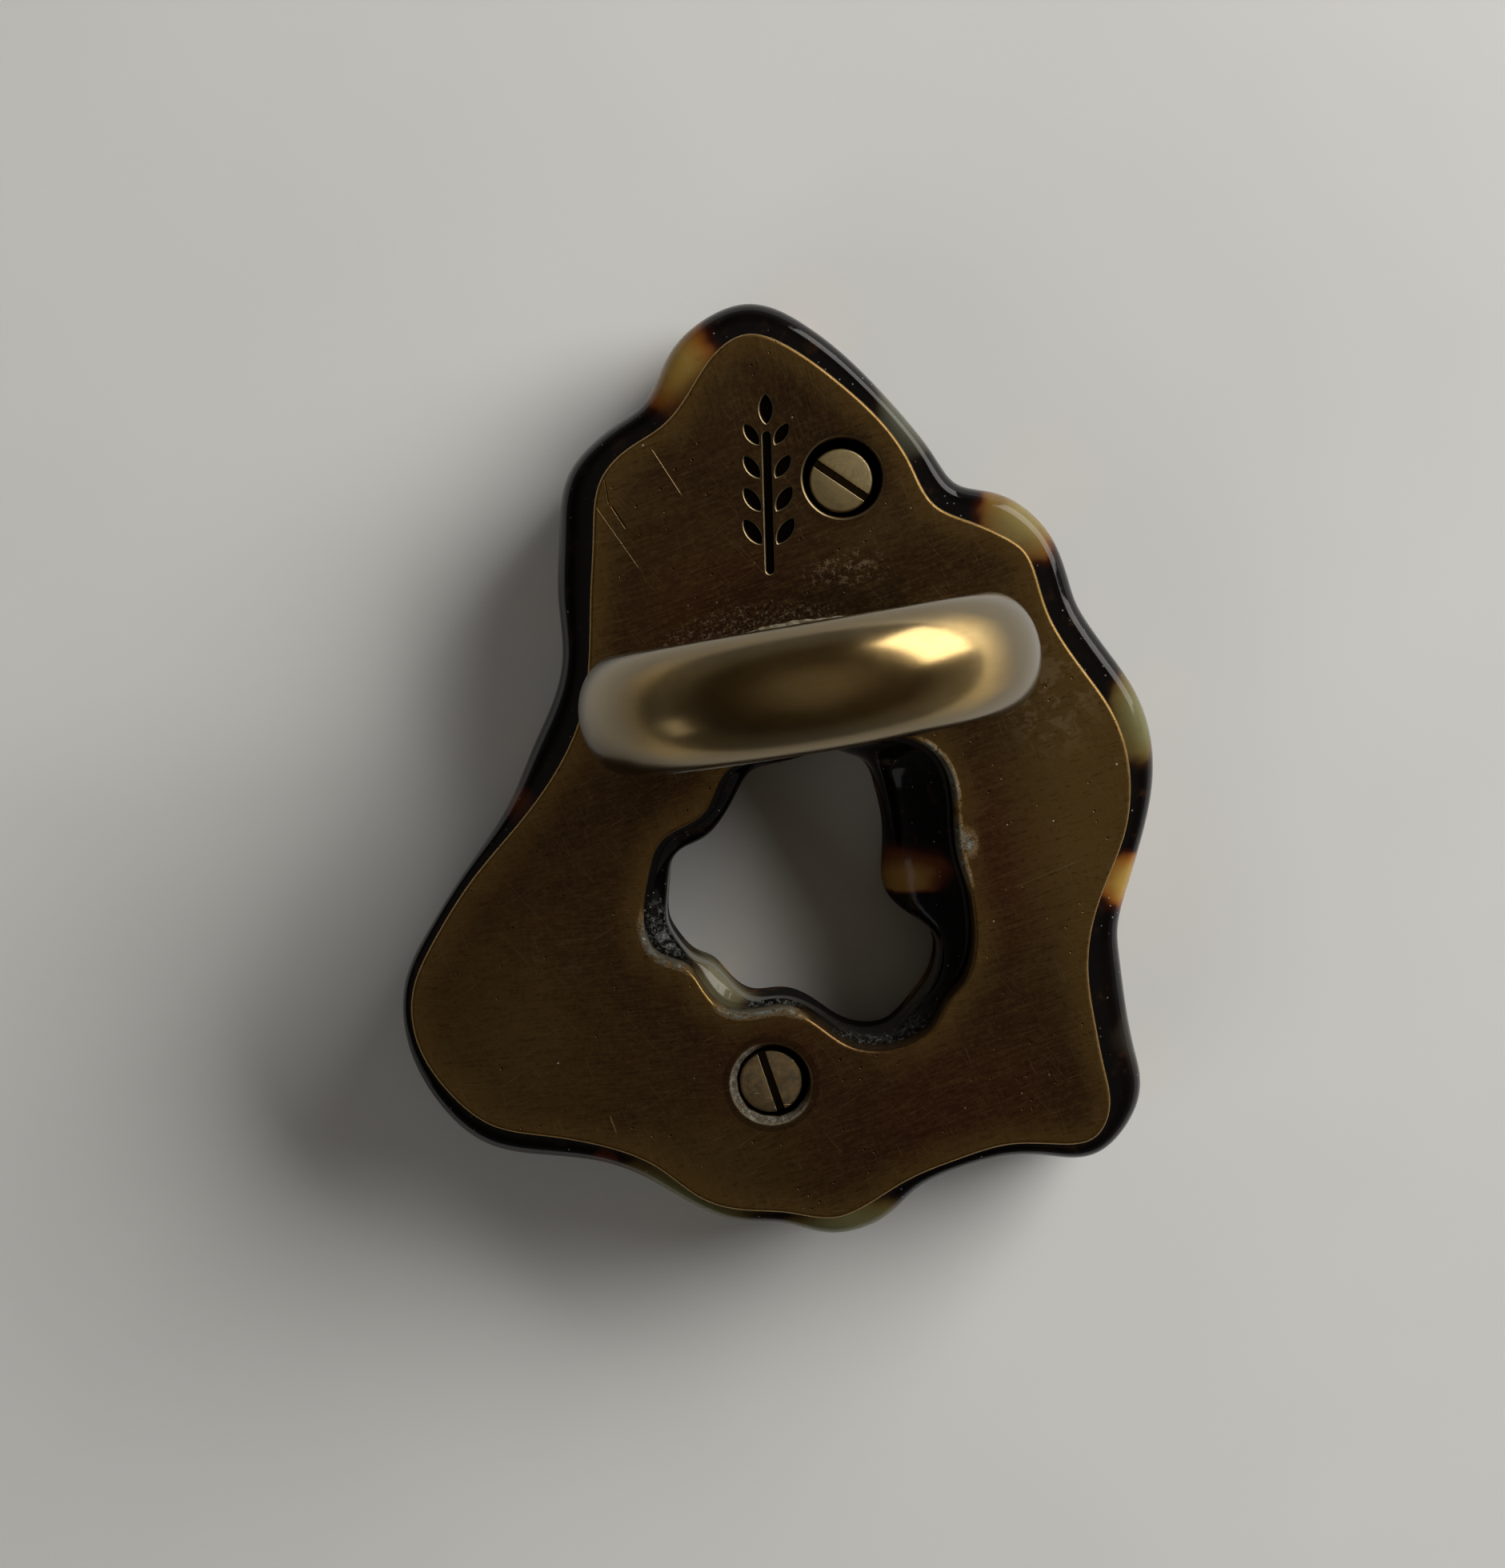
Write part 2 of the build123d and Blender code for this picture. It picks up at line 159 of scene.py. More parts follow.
# ---- colours
BROWN = [
    (0.30, (0.102, 0.054, 0.029)), (0.48, (0.162, 0.090, 0.042)), (0.62, (0.220, 0.128, 0.056)),
    (0.80, (0.285, 0.172, 0.072)),
]
CRUST = [(0.35, (0.055, 0.060, 0.046)), (0.56, (0.140, 0.140, 0.116)), (0.68, (0.300, 0.300, 0.255))]
POLISHED = [(0.25, (0.45, 0.295, 0.115)), (0.6, (0.57, 0.400, 0.175)), (0.9, (0.65, 0.480, 0.235))]
PLATE = {
    "border": (0.430, 0.255, 0.075), "heated": (0.062, 0.040, 0.021), "stroke": (0.320, 0.210, 0.080),
    "dark stroke": (0.055, 0.030, 0.012), "scratch": (0.62, 0.47, 0.24), "gouge": (0.030, 0.020, 0.010),
    "pit": (0.020, 0.013, 0.008), "film": (0.200, 0.180, 0.135), "edge": (0.30, 0.19, 0.07),
    # the lip colour is a painted highlight for the bevels; the one after it paints soiling and shade
    "lip": (0.50, 0.40, 0.22), "dirt_and_shade": (0.016, 0.010, 0.006), "lint": (0.34, 0.33, 0.29),
}
SLAB = {
    "blue-black": (0.0012, 0.0012, 0.0014), "brown-black": (0.0034, 0.0022, 0.0018),
    "streak": (0.06, 0.025, 0.008), "dust": (0.30, 0.31, 0.30), "haze": (0.020, 0.021, 0.020),
    "crust": (0.19, 0.20, 0.175),
}

# Zones of the plate's patina: strength, colour and ovals, which are x and y, then half sizes.
PATINA_ZONES = [
    (0.82, (0.195, 0.072, 0.038),
     (4.5, -23.5, 11, 7), (-3.0, 4.5, 8, 5), (8.6, -11.0, 4, 9), (-4.6, -19.8, 5.5, 4)),
    (0.74, (0.500, 0.315, 0.100), (13.5, -9.5, 6, 18)),
    (0.70, (0.310, 0.200, 0.070), (-19.0, -17.0, 9, 9), (-10.0, -24.5, 9, 4.5)),
]
OVAL_DEPTH = 9.0            # half size along Z, so that an oval also reaches down the plate's edges

# Single scratches: both ends and half the width.
BRIGHT_MARKS = [
    ((-5.8, 13.3), (-4.5, 10.3), 0.035), ((-9.2, 10.9), (-7.3, 6.9), 0.02),
    ((2.1, -15.3), (4.4, -17.0), 0.02), ((9.0, -12.6), (13.2, -11.6), 0.025),
    ((-13.8, -20.8), (-13.6, -21.9), 0.05),
]
GOUGES = [((-8.3, 10.6), (-7.7, 9.2), 0.06), ((-8.4, 12.0), (-8.4, 10.6), 0.04)]


def from_edge(*colours, stops=(0.15, 0.42, 0.85)):
    """The colours of a patch of the acetate, from its edge inwards."""
    return list(zip(stops, colours))


AMBER = from_edge((0.045, 0.007, 0.002), (0.210, 0.075, 0.012), (0.300, 0.185, 0.040))
OLIVE = from_edge((0.030, 0.012, 0.004), (0.095, 0.068, 0.020), (0.120, 0.112, 0.048))
HONEY = from_edge((0.045, 0.008, 0.002), (0.135, 0.068, 0.016), (0.180, 0.138, 0.048))
HORN = from_edge((0.035, 0.023, 0.011), (0.095, 0.080, 0.042), (0.140, 0.130, 0.080))
REDDISH = from_edge((0.012, 0.003, 0.002), (0.040, 0.009, 0.004), (0.065, 0.016, 0.006))
SMOKY = from_edge((0.006, 0.003, 0.002), (0.010, 0.007, 0.005), (0.015, 0.013, 0.010))
MISTY = from_edge((0.010, 0.006, 0.004), (0.034, 0.032, 0.021), (0.062, 0.063, 0.044))
STRIPE = from_edge(
    (0.045, 0.007, 0.002), (0.110, 0.034, 0.007), (0.260, 0.135, 0.030), stops=(0.15, 0.50, 0.90))

# Where they show, on the rim and in the opening: centre, half sizes and colours.
PATCHES = [
    ((-3.7, 17.4), (3.0, 4.4), AMBER), ((7.4, 12.7), (2.0, 3.2), MISTY), ((12.7, 6.2), (3.0, 3.2), HONEY),
    ((17.4, -5.0), (2.4, 3.5), OLIVE), ((15.3, -13.5), (2.4, 2.0), AMBER), ((14.4, -22.0), (1.6, 2.3), SMOKY),
    ((-2.6, -29.4), (4.6, 2.4), OLIVE), ((-10.4, -26.2), (6.6, 4.2), OLIVE),
    ((-15.9, -4.0), (1.3, 1.6), REDDISH), ((-14.6, -23.5), (1.0, 0.9), REDDISH),
    ((-7.0, -15.3), (2.5, 3.3), HORN),
]
PATCH_Z = -13.2
PATCH_HALF_HEIGHT = 4.6


# ---- outlines
def spans(points):
    """The distance from each point of a closed outline to the next."""
    return np.linalg.norm(np.roll(points, -1, axis=0) - points, axis=1)


def smooth_curve(points, lengths, per_span):
    """Dense points of the periodic cubic spline through an outline's points."""
    points = np.asarray(points, float)
    count = len(points)
    before = np.roll(lengths, 1)
    system = np.zeros((count, count))
    rows = np.arange(count)
    system[rows, rows - 1] += before
    system[rows, rows] += 2 * (before + lengths)
    system[rows, (rows + 1) % count] += lengths
    slopes = (np.roll(points, -1, axis=0) - points) / lengths[:, None]
    bends = np.linalg.solve(system, 6 * (slopes - np.roll(slopes, 1, axis=0)))
    after_bends = np.roll(bends, -1, axis=0)
    after_points = np.roll(points, -1, axis=0)
    dense = []
    for index, length in enumerate(lengths):
        for share in np.arange(per_span) / per_span:
            gone = share * length
            left = length - gone
            bow = (bends[index] * (left ** 3 - left * length ** 2)
                   + after_bends[index] * (gone ** 3 - gone * length ** 2)) / (6 * length)
            dense.append(bow + points[index] * (1 - share) + after_points[index] * share)
    return np.array(dense)


def outward(points):
    """Unit normals that point out of a clockwise outline."""
    points = np.asarray(points, float)
    leaving = np.roll(points, -1, axis=0) - points
    leaving /= np.linalg.norm(leaving, axis=1)[:, None]
    along = leaving + np.roll(leaving, 1, axis=0)
    along /= np.linalg.norm(along, axis=1)[:, None]
    return np.stack([-along[:, 1], along[:, 0]], axis=1)


def grown(points, distance):
    """The outline moved outwards by one distance, or by one for each point."""
    distance = np.broadcast_to(np.asarray(distance, float), len(points))
    return np.asarray(points, float) + outward(points) * distance[:, None]


def circle(centre, radius, count=96):
    """A clockwise circle."""
    angles = -np.arange(count) * 2 * math.pi / count
    return np.stack([centre[0] + radius * np.cos(angles), centre[1] + radius * np.sin(angles)], axis=1)


def centre_of(node):
    """The middle of a node's box, in plan."""
    low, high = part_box(node)
    middle = (low + high) / 2 / MM
    return (middle.x, middle.y)


def head_centre(node):
    """Where a screw's head is: a little off its axis."""
    axis = centre_of(node)
    return (axis[0] + HEAD_SHIFTS[node][0], axis[1] + HEAD_SHIFTS[node][1])


plate_outline = np.array([(x, y) for x, y, _ in OUTLINE])
slab_widest = grown(plate_outline, [lip for _, _, lip in OUTLINE])
plate_opening = np.array([edge for edge, _ in OPENING])
slab_waist = np.array([waist for _, waist in OPENING])
outline_spans = spans(plate_outline)
opening_spans = spans(plate_opening)
OUTLINE_DENSITY = 12
OPENING_DENSITY = 16


def outer_curve(points):
    """A dense curve through points that follow the plate's outline."""
    return smooth_curve(points, outline_spans, OUTLINE_DENSITY)


def inner_curve(points):
    """A dense curve through points that follow the opening."""
    return smooth_curve(points, opening_spans, OPENING_DENSITY)


# ---- meshes
def inside(points, loops):
    """Which points lie inside an odd number of the loops."""
    odd = np.zeros(len(points), bool)
    px, py = points[:, 0][:, None], points[:, 1][:, None]
    for loop in loops:
        ax, ay = loop[:, 0][None], loop[:, 1][None]
        bx, by = np.roll(loop[:, 0], -1)[None], np.roll(loop[:, 1], -1)[None]
        crosses = (ay > py) != (by > py)
        rise = np.where(by == ay, 1.0, by - ay)
        left_of = px < ax + (py - ay) * (bx - ax) / rise
        odd ^= (crosses & left_of).sum(axis=1) % 2 == 1
    return odd


class Shell:
    """A closed mesh put together from rings of points, in millimetres."""

    def __init__(self):
        self.points = []
        self.faces = []
        self.flat = []

    def ring(self, outline, z):
        """Adds a ring, with one height or one for each point, and returns its numbers."""
        start = len(self.points)
        heights = np.broadcast_to(np.asarray(z, float), len(outline))
        self.points.extend((float(x), float(y), float(h)) for (x, y), h in zip(outline, heights))
        return list(range(start, len(self.points)))

    def walls(self, rings):
        """Faces between each ring and the next, which have equally many points."""
        for lower, upper in zip(rings, rings[1:]):
            count = len(lower)
            for index in range(count):
                after = (index + 1) % count
                self.faces.append((lower[index], lower[after], upper[after], upper[index]))
                self.flat.append(False)

    def cap(self, rings, inner=()):
        """Flat faces on the area that the rings enclose, less the holes that further rings cut in it.

        The inner ring's points, if any, are extra corners inside that area.
        """
        numbers = [number for ring in rings for number in ring]
        edges = []
        start = 0
        for ring in rings:
            count = len(ring)
            edges.extend((start + index, start + (index + 1) % count) for index in range(count))
            start += count
        numbers += list(inner)
        flat_points = [Vector(self.points[number][:2]) for number in numbers]
        points, _, triangles, origins, _, _ = delaunay_2d_cdt(flat_points, edges, [], 0, 1e-7)
        corners = np.array([[points[corner][:] for corner in triangle] for triangle in triangles])
        loops = [np.array([self.points[number][:2] for number in ring]) for ring in rings]
        kept = inside(corners.mean(axis=1), loops)
        for triangle, keep in zip(triangles, kept):
            if keep:
                self.faces.append(tuple(numbers[origins[corner][0]] for corner in triangle))
                self.flat.append(True)

    def drop_unused(self):
        """Leaves out points that no face uses, such as a contour given twice."""
        used = sorted({number for face in self.faces for number in face})
        renumbered = {number: place for place, number in enumerate(used)}
        self.points = [self.points[number] for number in used]
        self.faces = [tuple(renumbered[number] for number in face) for face in self.faces]

    def mesh(self, name, join_flat=False):
        """The closed mesh in metres.  Its flat faces can be joined into larger ones."""
        mesh = bpy.data.meshes.new(name)
        mesh.from_pydata([(x * MM, y * MM, z * MM) for x, y, z in self.points], [], self.faces)
        for polygon, flat in zip(mesh.polygons, self.flat):
            polygon.use_smooth = not flat
        work = bmesh.new()
        work.from_mesh(mesh)
        if join_flat:
            bmesh.ops.dissolve_limit(work, angle_limit=math.radians(0.5), verts=work.verts, edges=work.edges)
        bmesh.ops.recalc_face_normals(work, faces=work.faces)
        work.to_mesh(mesh)
        work.free()
        return mesh


def placed(name, data):
    """A new object, linked to the scene."""
    made = bpy.data.objects.new(name, data)
    bpy.context.scene.collection.objects.link(made)
    return made


def add_piece(name, mesh, slot, material, *nodes):
    """Puts a finished mesh in the scene in place of CAD nodes."""
    piece = placed(name, mesh)
    mesh.materials.append(material)
    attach(piece, BODY)
    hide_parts(*nodes)
    return piece


# ---- shader graphs
class Graph:
    """Short forms for the nodes of one tree."""

    def __init__(self, tree, place):
        self.tree = tree
        self.place = self.add("TexCoord")[place]

    def feed(self, socket, value):
        """Links a socket to another, or sets its constant."""
        if isinstance(value, bpy.types.NodeSocket):
            self.tree.links.new(value, socket)
        else:
            socket.default_value = value

    def add(self, kind, inputs=(), **settings):
        """A new node with its settings, and with inputs by name or number.  Returns its outputs."""
        node = self.tree.nodes.new("ShaderNode" + kind)
        for name, value in settings.items():
            setattr(node, name, value)
        for key, value in dict(inputs).items():
            self.feed(node.inputs[key], value)
        return node.outputs

    def vector(self, operation, first, second=(0, 0, 0), **named):
        """A vector operation."""
        outputs = self.add("VectorMath", {0: first, 1: second, **named}, operation=operation)
        return outputs["Value" if operation in ("LENGTH", "DOT_PRODUCT") else "Vector"]

    def number(self, operation, first, second=0.0, clamp=False):
        """A number worked out from two."""
        return self.add("Math", {0: first, 1: second}, operation=operation, use_clamp=clamp)[0]

    def times(self, first, second):
        """Two numbers or patterns multiplied."""
        return self.number("MULTIPLY", first, second)

    def strongest(self, *values):
        """The largest of several patterns."""
        total = values[0]
        for value in values[1:]:
            total = self.number("MAXIMUM", total, value)
        return total

    def level(self):
        """Height along Z."""
        return self.vector("DOT_PRODUCT", self.place, (0, 0, 1))

    def ramp(self, value, start, end, low=0.0, high=1.0):
        """The value from start to end, as a smooth rise from low to high."""
        inputs = {"Value": value, "From Min": start, "From Max": end, "To Min": low, "To Max": high}
        return self.add("MapRange", inputs, interpolation_type="SMOOTHSTEP")["Result"]

    def turned(self, degrees, stretch):
        """Positions turned about Z, then scaled along each axis."""
        turned = self.add("Mapping", {"Vector": self.place, "Rotation": (0, 0, math.radians(-degrees))})[0]
        return self.add("Mapping", {"Vector": turned, "Scale": stretch})[0]

    def noise(self, scale, detail=4.0, roughness=0.55, place=None, offset=0.0):
        """Soft noise, from 0 to 1."""
        moved = self.vector("ADD", place or self.place, (offset, -offset, 1.7 * offset))
        inputs = {"Vector": moved, "Scale": scale, "Detail": detail, "Roughness": roughness}
        return self.add("TexNoise", inputs)["Fac"]

    def noises(self, scale):
        """Three soft noises at once, as a colour."""
        return self.add("TexNoise", {"Vector": self.place, "Scale": scale})["Color"]

    def specks(self, scale, size, share):
        """Round specks: how much of one covers each place.  A share of the cells has one."""
        cells = self.add("TexVoronoi", {"Vector": self.place, "Scale": scale})
        dot = self.ramp(cells["Distance"], size, size * 0.6)
        red = self.add("SeparateColor", {0: cells["Color"]})[0]
        return self.times(dot, self.number("LESS_THAN", red, share))

    def less(self, pattern, share):
        """One, less a share of a pattern."""
        return self.number("SUBTRACT", 1.0, self.times(pattern, share))

    def stored(self, name):
        """A value stored with the mesh's points."""
        return self.add("Attribute", attribute_name=name)["Fac"]

    def near(self, centre, radii, inner, outer=1.0, place=None):
        """One inside an oval round a place, falling to nothing at its edge."""
        away = self.vector("SUBTRACT", place or self.place, centre)
        scaled = self.vector("DIVIDE", away, radii)
        return self.ramp(self.vector("LENGTH", scaled), outer, inner)

    def ovals(self, *ovals, inner=0.1):
        """One inside any of several ovals on the plate, given as x, y and their half sizes."""
        return self.strongest(*[
            self.near((x, y, FACE_Z), (half_x, half_y, OVAL_DEPTH), inner) for x, y, half_x, half_y in ovals])

    def mixed(self, share, first, second):
        """A number between two."""
        rest = self.number("SUBTRACT", 1.0, share)
        return self.number("ADD", self.times(first, rest), self.times(second, share))

    def mark(self, start, end, half_width):
        """One on a straight scratch between two places of the plate."""
        start, end = Vector((*start, 0)), Vector((*end, 0))
        along = (end - start).normalized()
        middle = (start + end) / 2
        half = (end - start).length / 2
        away = self.vector("SUBTRACT", self.place, middle)
        across = self.vector("DOT_PRODUCT", away, (-along.y, along.x, 0))
        lengthwise = self.vector("DOT_PRODUCT", away, along)
        thin = self.ramp(self.number("ABSOLUTE", across), half_width, half_width * 0.4)
        return self.times(thin, self.ramp(self.number("ABSOLUTE", lengthwise), half, half * 0.7))

    def blend(self, share, first, second):
        """A colour between two."""
        inputs = {0: share, 6: first, 7: second}
        for key in (6, 7):
            if not isinstance(inputs[key], bpy.types.NodeSocket):
                inputs[key] = (*inputs[key], 1)
        return self.add("Mix", inputs, data_type="RGBA", clamp_factor=True)[2]

    def shade(self, value, stops):
        """A colour from a ramp of (position, colour) stops."""
        outputs = self.add("ValToRGB", {0: value})
        elements = outputs[0].node.color_ramp.elements
        for element, (position, colour) in zip(elements, (stops[0], stops[-1])):
            element.position, element.color = position, (*colour, 1)
        for position, colour in stops[1:-1]:
            elements.new(position).color = (*colour, 1)
        return outputs[0]


class Material(Graph):
    """The graph of one material.  Positions come in millimetres, in the frame's axes."""

    def __init__(self, name, **shader):
        self.material = bpy.data.materials.new(name)
        self.material.use_nodes = True
        super().__init__(self.material.node_tree, "Object")
        self.place = self.vector("SCALE", self.place, Scale=1 / MM)
        self.shader = self.tree.nodes["Principled BSDF"].inputs
        for socket, value in shader.items():
            self.shader[socket.replace("_", " ")].default_value = value

    def height(self, *layers):
        """One relief from several (pattern, height in millimetres) layers."""
        total = None
        for pattern, size in layers:
            layer = self.times(pattern, size * MM)
            total = layer if total is None else self.number("ADD", total, layer)
        bump = self.add("Bump", {"Strength": 1.0, "Distance": 1.0, "Height": total})
        self.feed(self.shader["Normal"], bump[0])

    def finish(self, colour, roughness):
        """Joins the colour and roughness to the shader."""
        self.feed(self.shader["Base Color"], colour)
        self.feed(self.shader["Roughness"], roughness)
        return self.material


# ---- brass plate
def worn_border(g, inset):
    """The strip along the plate's edges that handling keeps bright, less so above the lower screw."""
    wander = g.times(g.noise(0.5, 4, 0.6, offset=23), 1.5)
    border = g.ramp(g.number("ADD", inset, wander), 2.7, 0.7)
    return g.times(border, g.less(g.ovals((-3.0, -20.0, 7.5, 4.0), inner=0.3), 0.8))


def patina(g, border):
    """Mottled brown: red, golden or olive in zones, worn at the border, dark where it was brazed."""
    mottling = g.mixed(0.2, g.noise(0.16, 6, 0.62), g.noise(2.6, 6, 0.7, offset=11))
    colour = g.shade(mottling, BROWN)
    for share, tint, *ovals in PATINA_ZONES:
        colour = g.blend(g.times(g.ovals(*ovals), share), colour, tint)
    colour = g.blend(g.times(border, 0.7), colour, PLATE["border"])
    return g.blend(g.times(g.ovals((0.6, 2.2, 9.5, 5.0), inner=0.35), 0.7), colour, PLATE["heated"])


def brush_strokes(g):
    """Brush strokes: level on the left lobe, nearly so on the body and upright on the crown."""
    body, upright, level = [
        g.noise(1.0, 4, 0.75, g.turned(angle, stretch), offset=offset)
        for angle, stretch, offset in ((9, (0.9, 9, 1), 0), (97, (0.9, 9, 1), 5), (-4, (0.7, 7, 1), 15))]
    grain = g.mixed(g.ovals((0.5, 17.0, 7, 7), inner=0.4), body, upright)
    grain = g.mixed(g.ovals((-14, -16.0, 13, 11), inner=0.5), grain, level)
    return g.mixed(0.45, grain, g.noise(4.2, 4, 0.8, offset=81))


def hairlines(g, border):
    """Fine scratches: some in four directions all over, and hatching on the border."""
    lines = [
        g.ramp(g.noise(1.0, 1, 0.5, g.turned(angle, (along, 13, 1)), offset=offset), 0.70, 0.76)
        for angle, along, offset in ((14, 0.7, 3), (24, 0.35, 9), (-58, 0.25, 17), (101, 0.45, 27))]
    hatching = [
        g.ramp(g.noise(1.0, 1, 0.5, g.turned(angle, (0.9, 12, 1)), offset=offset), 0.62, 0.70)
        for angle, offset in ((-8, 37), (96, 47))]
    return g.strongest(*lines, g.times(border, g.strongest(*hatching)))


def stain_film(g):
    """Thin dried stains right of the band and on the left lobe."""
    right = g.times(g.ovals((12.6, -3.0, 3.6, 4.2), inner=0.35),
                    g.ramp(g.noise(1.3, 6, 0.65, offset=51), 0.48, 0.56))
    left = g.times(g.ovals((-15.2, -12.2, 3.6, 3.0), inner=0.2),
                   g.ramp(g.noise(1.6, 6, 0.65, offset=57), 0.50, 0.66, 0, 0.5))
    return g.strongest(right, left)


def edges_and_cuts(g, inset, colour):
    """Bright worn edges, a painted highlight on bevels, dark fill in the engraving, painted shade and soiling
    in counterbores.
    """
    level = g.level()
    wear = g.times(g.ramp(level, FACE_Z - 0.03, FACE_Z - 0.2), g.ramp(inset, 0.8, 0.5))
    wear = g.times(wear, g.ramp(g.noise(0.7, 4, 0.6, offset=33), 0.35, 0.62, 0.15, 1))
    colour = g.blend(g.times(wear, 0.25), colour, PLATE["edge"])
    cut = g.ramp(level, FACE_Z - ENGRAVING_EDGE * 0.9, FACE_Z - ENGRAVING_EDGE * 1.6)
    # Painted highlight: pale brass on the bevels just under the face, round the engraving and counterbores,
    # where they would catch light.
    lip = g.number("SUBTRACT", g.ramp(level, FACE_Z - 0.004, FACE_Z - 0.02), cut)
    lip = g.times(lip, g.ramp(inset, 0.6, 0.9))
    colour = g.blend(g.times(lip, 0.8), colour, PLATE["lip"])
    dirt_and_shade = [g.times(g.ovals((-0.1, 10.3, 3.2, 5.6), inner=0.97), cut)]
    # Painted shade with some soiling: each counterbore darkens with depth, more towards its floor.
    for node, shares in BORE_GRIME_AND_SHADE.items():
        depth = g.ramp(level, FACE_Z - 0.3, FACE_Z - 1.15, *shares)
        dirt_and_shade.append(g.times(g.ovals((*centre_of(node), 2.6, 2.6), inner=0.97), depth))
    return g.blend(g.strongest(*dirt_and_shade), colour, PLATE["dirt_and_shade"])


def brass_residue(g, inset):
    """Pale residue at the band's foot, the lower screw and the opening, and below the sprig."""
    foot = g.near((-2.2, 1.2, FACE_Z), (6.6, 3.5, OVAL_DEPTH), 0.62)
    foot = g.times(foot, g.ramp(g.noise(4.4, 6, 0.8, offset=43), 0.54, 0.64, 0, 0.75))
    lower = (*centre_of("lower_screw"), FACE_Z)
    side = g.ramp(g.vector("DOT_PRODUCT", g.vector("SUBTRACT", g.place, lower), (0.85, 0.52, 0)), 1.3, 0.2)
    collar = g.times(g.near(lower, (2.35, 2.35, OVAL_DEPTH), 0.88, 0.99), side)
    collar = g.times(collar, g.ramp(g.level(), FACE_Z - 0.55, FACE_Z - 0.32))
    collar = g.times(collar, g.ramp(g.noise(3.8, 6, 0.8, offset=41), 0.38, 0.58, 0.3, 0.85))
    lip = g.ramp(inset, 0.42, 0.15)
    spill = g.near((7.1, -9.8, 0), (0.8, 1.1, 99), 0.1)
    edge = g.strongest(
        g.ovals((-9.4, -12.4, 2.4, 2.4), (6.6, -5.6, 1.8, 2.9), inner=0.5),
        g.ovals((-5.4, -17.0, 3.4, 1.6), (6.8, -10.2, 1.2, 2.4), inner=0.4))
    edge = g.times(edge, g.strongest(lip, spill))
    edge = g.times(edge, g.ramp(g.noise(3.4, 6, 0.8, offset=61), 0.40, 0.54, 0.1, 1.0))
    smear = g.times(g.ovals((3.2, 5.3, 3.6, 1.4), inner=0.2),
                    g.ramp(g.noise(2.4, 6, 0.7, offset=71), 0.50, 0.66, 0, 0.35))
    return g.strongest(foot, collar, edge, smear)


def brushed_brass():
    """Antiqued brass plate: patinated brown, worn to gold at its edges, brushed, pitted and stained."""
    g = Material("brushed_brass", Metallic=1.0)
    inset = g.stored("inset")
    border = worn_border(g, inset)
    colour = patina(g, border)
    grain = brush_strokes(g)
    colour = g.blend(g.ramp(grain, 0.47, 0.64, 0, 0.60), colour, PLATE["stroke"])
    colour = g.blend(g.ramp(grain, 0.50, 0.35, 0, 0.55), colour, PLATE["dark stroke"])
    bright = g.strongest(*[g.mark(*mark) for mark in BRIGHT_MARKS])
    gouge = g.strongest(*[g.mark(*mark) for mark in GOUGES])
    scratch = g.strongest(bright, g.times(hairlines(g, border), 0.30))
    colour = g.blend(g.times(scratch, 0.75), colour, PLATE["scratch"])
    colour = g.blend(gouge, colour, PLATE["gouge"])
    pits = g.times(g.specks(2.1, 0.16, 0.3), g.ramp(g.noise(0.3, 3, offset=7), 0.45, 0.62))
    colour = g.blend(g.times(pits, 0.85), colour, PLATE["pit"])
    film = stain_film(g)
    colour = g.blend(g.times(film, 0.28), colour, PLATE["film"])
    colour = edges_and_cuts(g, inset, colour)
    crust = brass_residue(g, inset)
    colour = g.blend(crust, colour, g.shade(g.noise(3.0, 5, 0.75, offset=87), CRUST))
    lint = g.times(g.specks(1.3, 0.09, 0.22), g.ramp(g.noise(0.21, 3, offset=47), 0.47, 0.6))
    pale = g.times(lint, 0.8)
    colour = g.blend(pale, colour, PLATE["lint"])
    matt = g.strongest(crust, pale, g.times(film, 0.12))
    g.feed(g.shader["Metallic"], g.less(matt, 0.9))
    g.height((grain, 0.0022), (bright, -0.012), (gouge, -0.04), (pits, -0.04), (crust, 0.05), (lint, 0.03),
             (g.noise(0.22, 2), 0.05))
    rough = g.ramp(grain, 0.3, 0.8, 0.36, 0.46)
    return g.finish(colour, g.number("ADD", rough, g.times(matt, 0.4), clamp=True))


# ---- other materials
def polished_brass():
    """The band: satin-polished brass with hairline wear, its sides and ends painted dimmer, and one painted
    dark reflection.
    """
    g = Material("polished_brass", Metallic=1.0)
    cloud = g.noise(0.25, 4, 0.6, offset=2)
    colour = g.shade(cloud, POLISHED)
    # Painted dark reflection: a dark brown spot on the band's left, standing in for the dark surroundings it
    # mirrors there.
    painted_dark_reflection = g.near((-8.4, 0, 7.4), (2.8, 3.6, 2.8), 0.2)
    colour = g.blend(g.times(painted_dark_reflection, 0.75), colour, (0.165, 0.110, 0.050))
    # Painted reflection tone: the band's sides and lower ends turn a dull grey-beige, standing in for the
    # dim, pale reflection they show.
    across = g.number("ABSOLUTE", g.vector("DOT_PRODUCT", g.place, (0, 1, 0)))
    low = g.ramp(g.level(), 8.2, 6.0)
    sides = g.number("ADD", low, g.ramp(across, HALF_WIDTH - 1.5, HALF_WIDTH - 0.4), clamp=True)
    colour = g.blend(g.times(sides, 0.85), colour, (0.200, 0.170, 0.120))
    hair = g.times(*[
        g.noise(1.0, 3, 0.65, g.turned(4, stretch), offset=offset)
        for stretch, offset in (((0.5, 9, 0.5), 4), ((1.2, 16, 1.2), 13))])
    colour = g.blend(g.ramp(hair, 0.2, 0.45, 0, 0.3), colour, (0.36, 0.24, 0.09))
    g.height((g.noise(0.35, 2, offset=6), 0.015))
    return g.finish(colour, g.ramp(cloud, 0.3, 0.8, 0.19, 0.26))


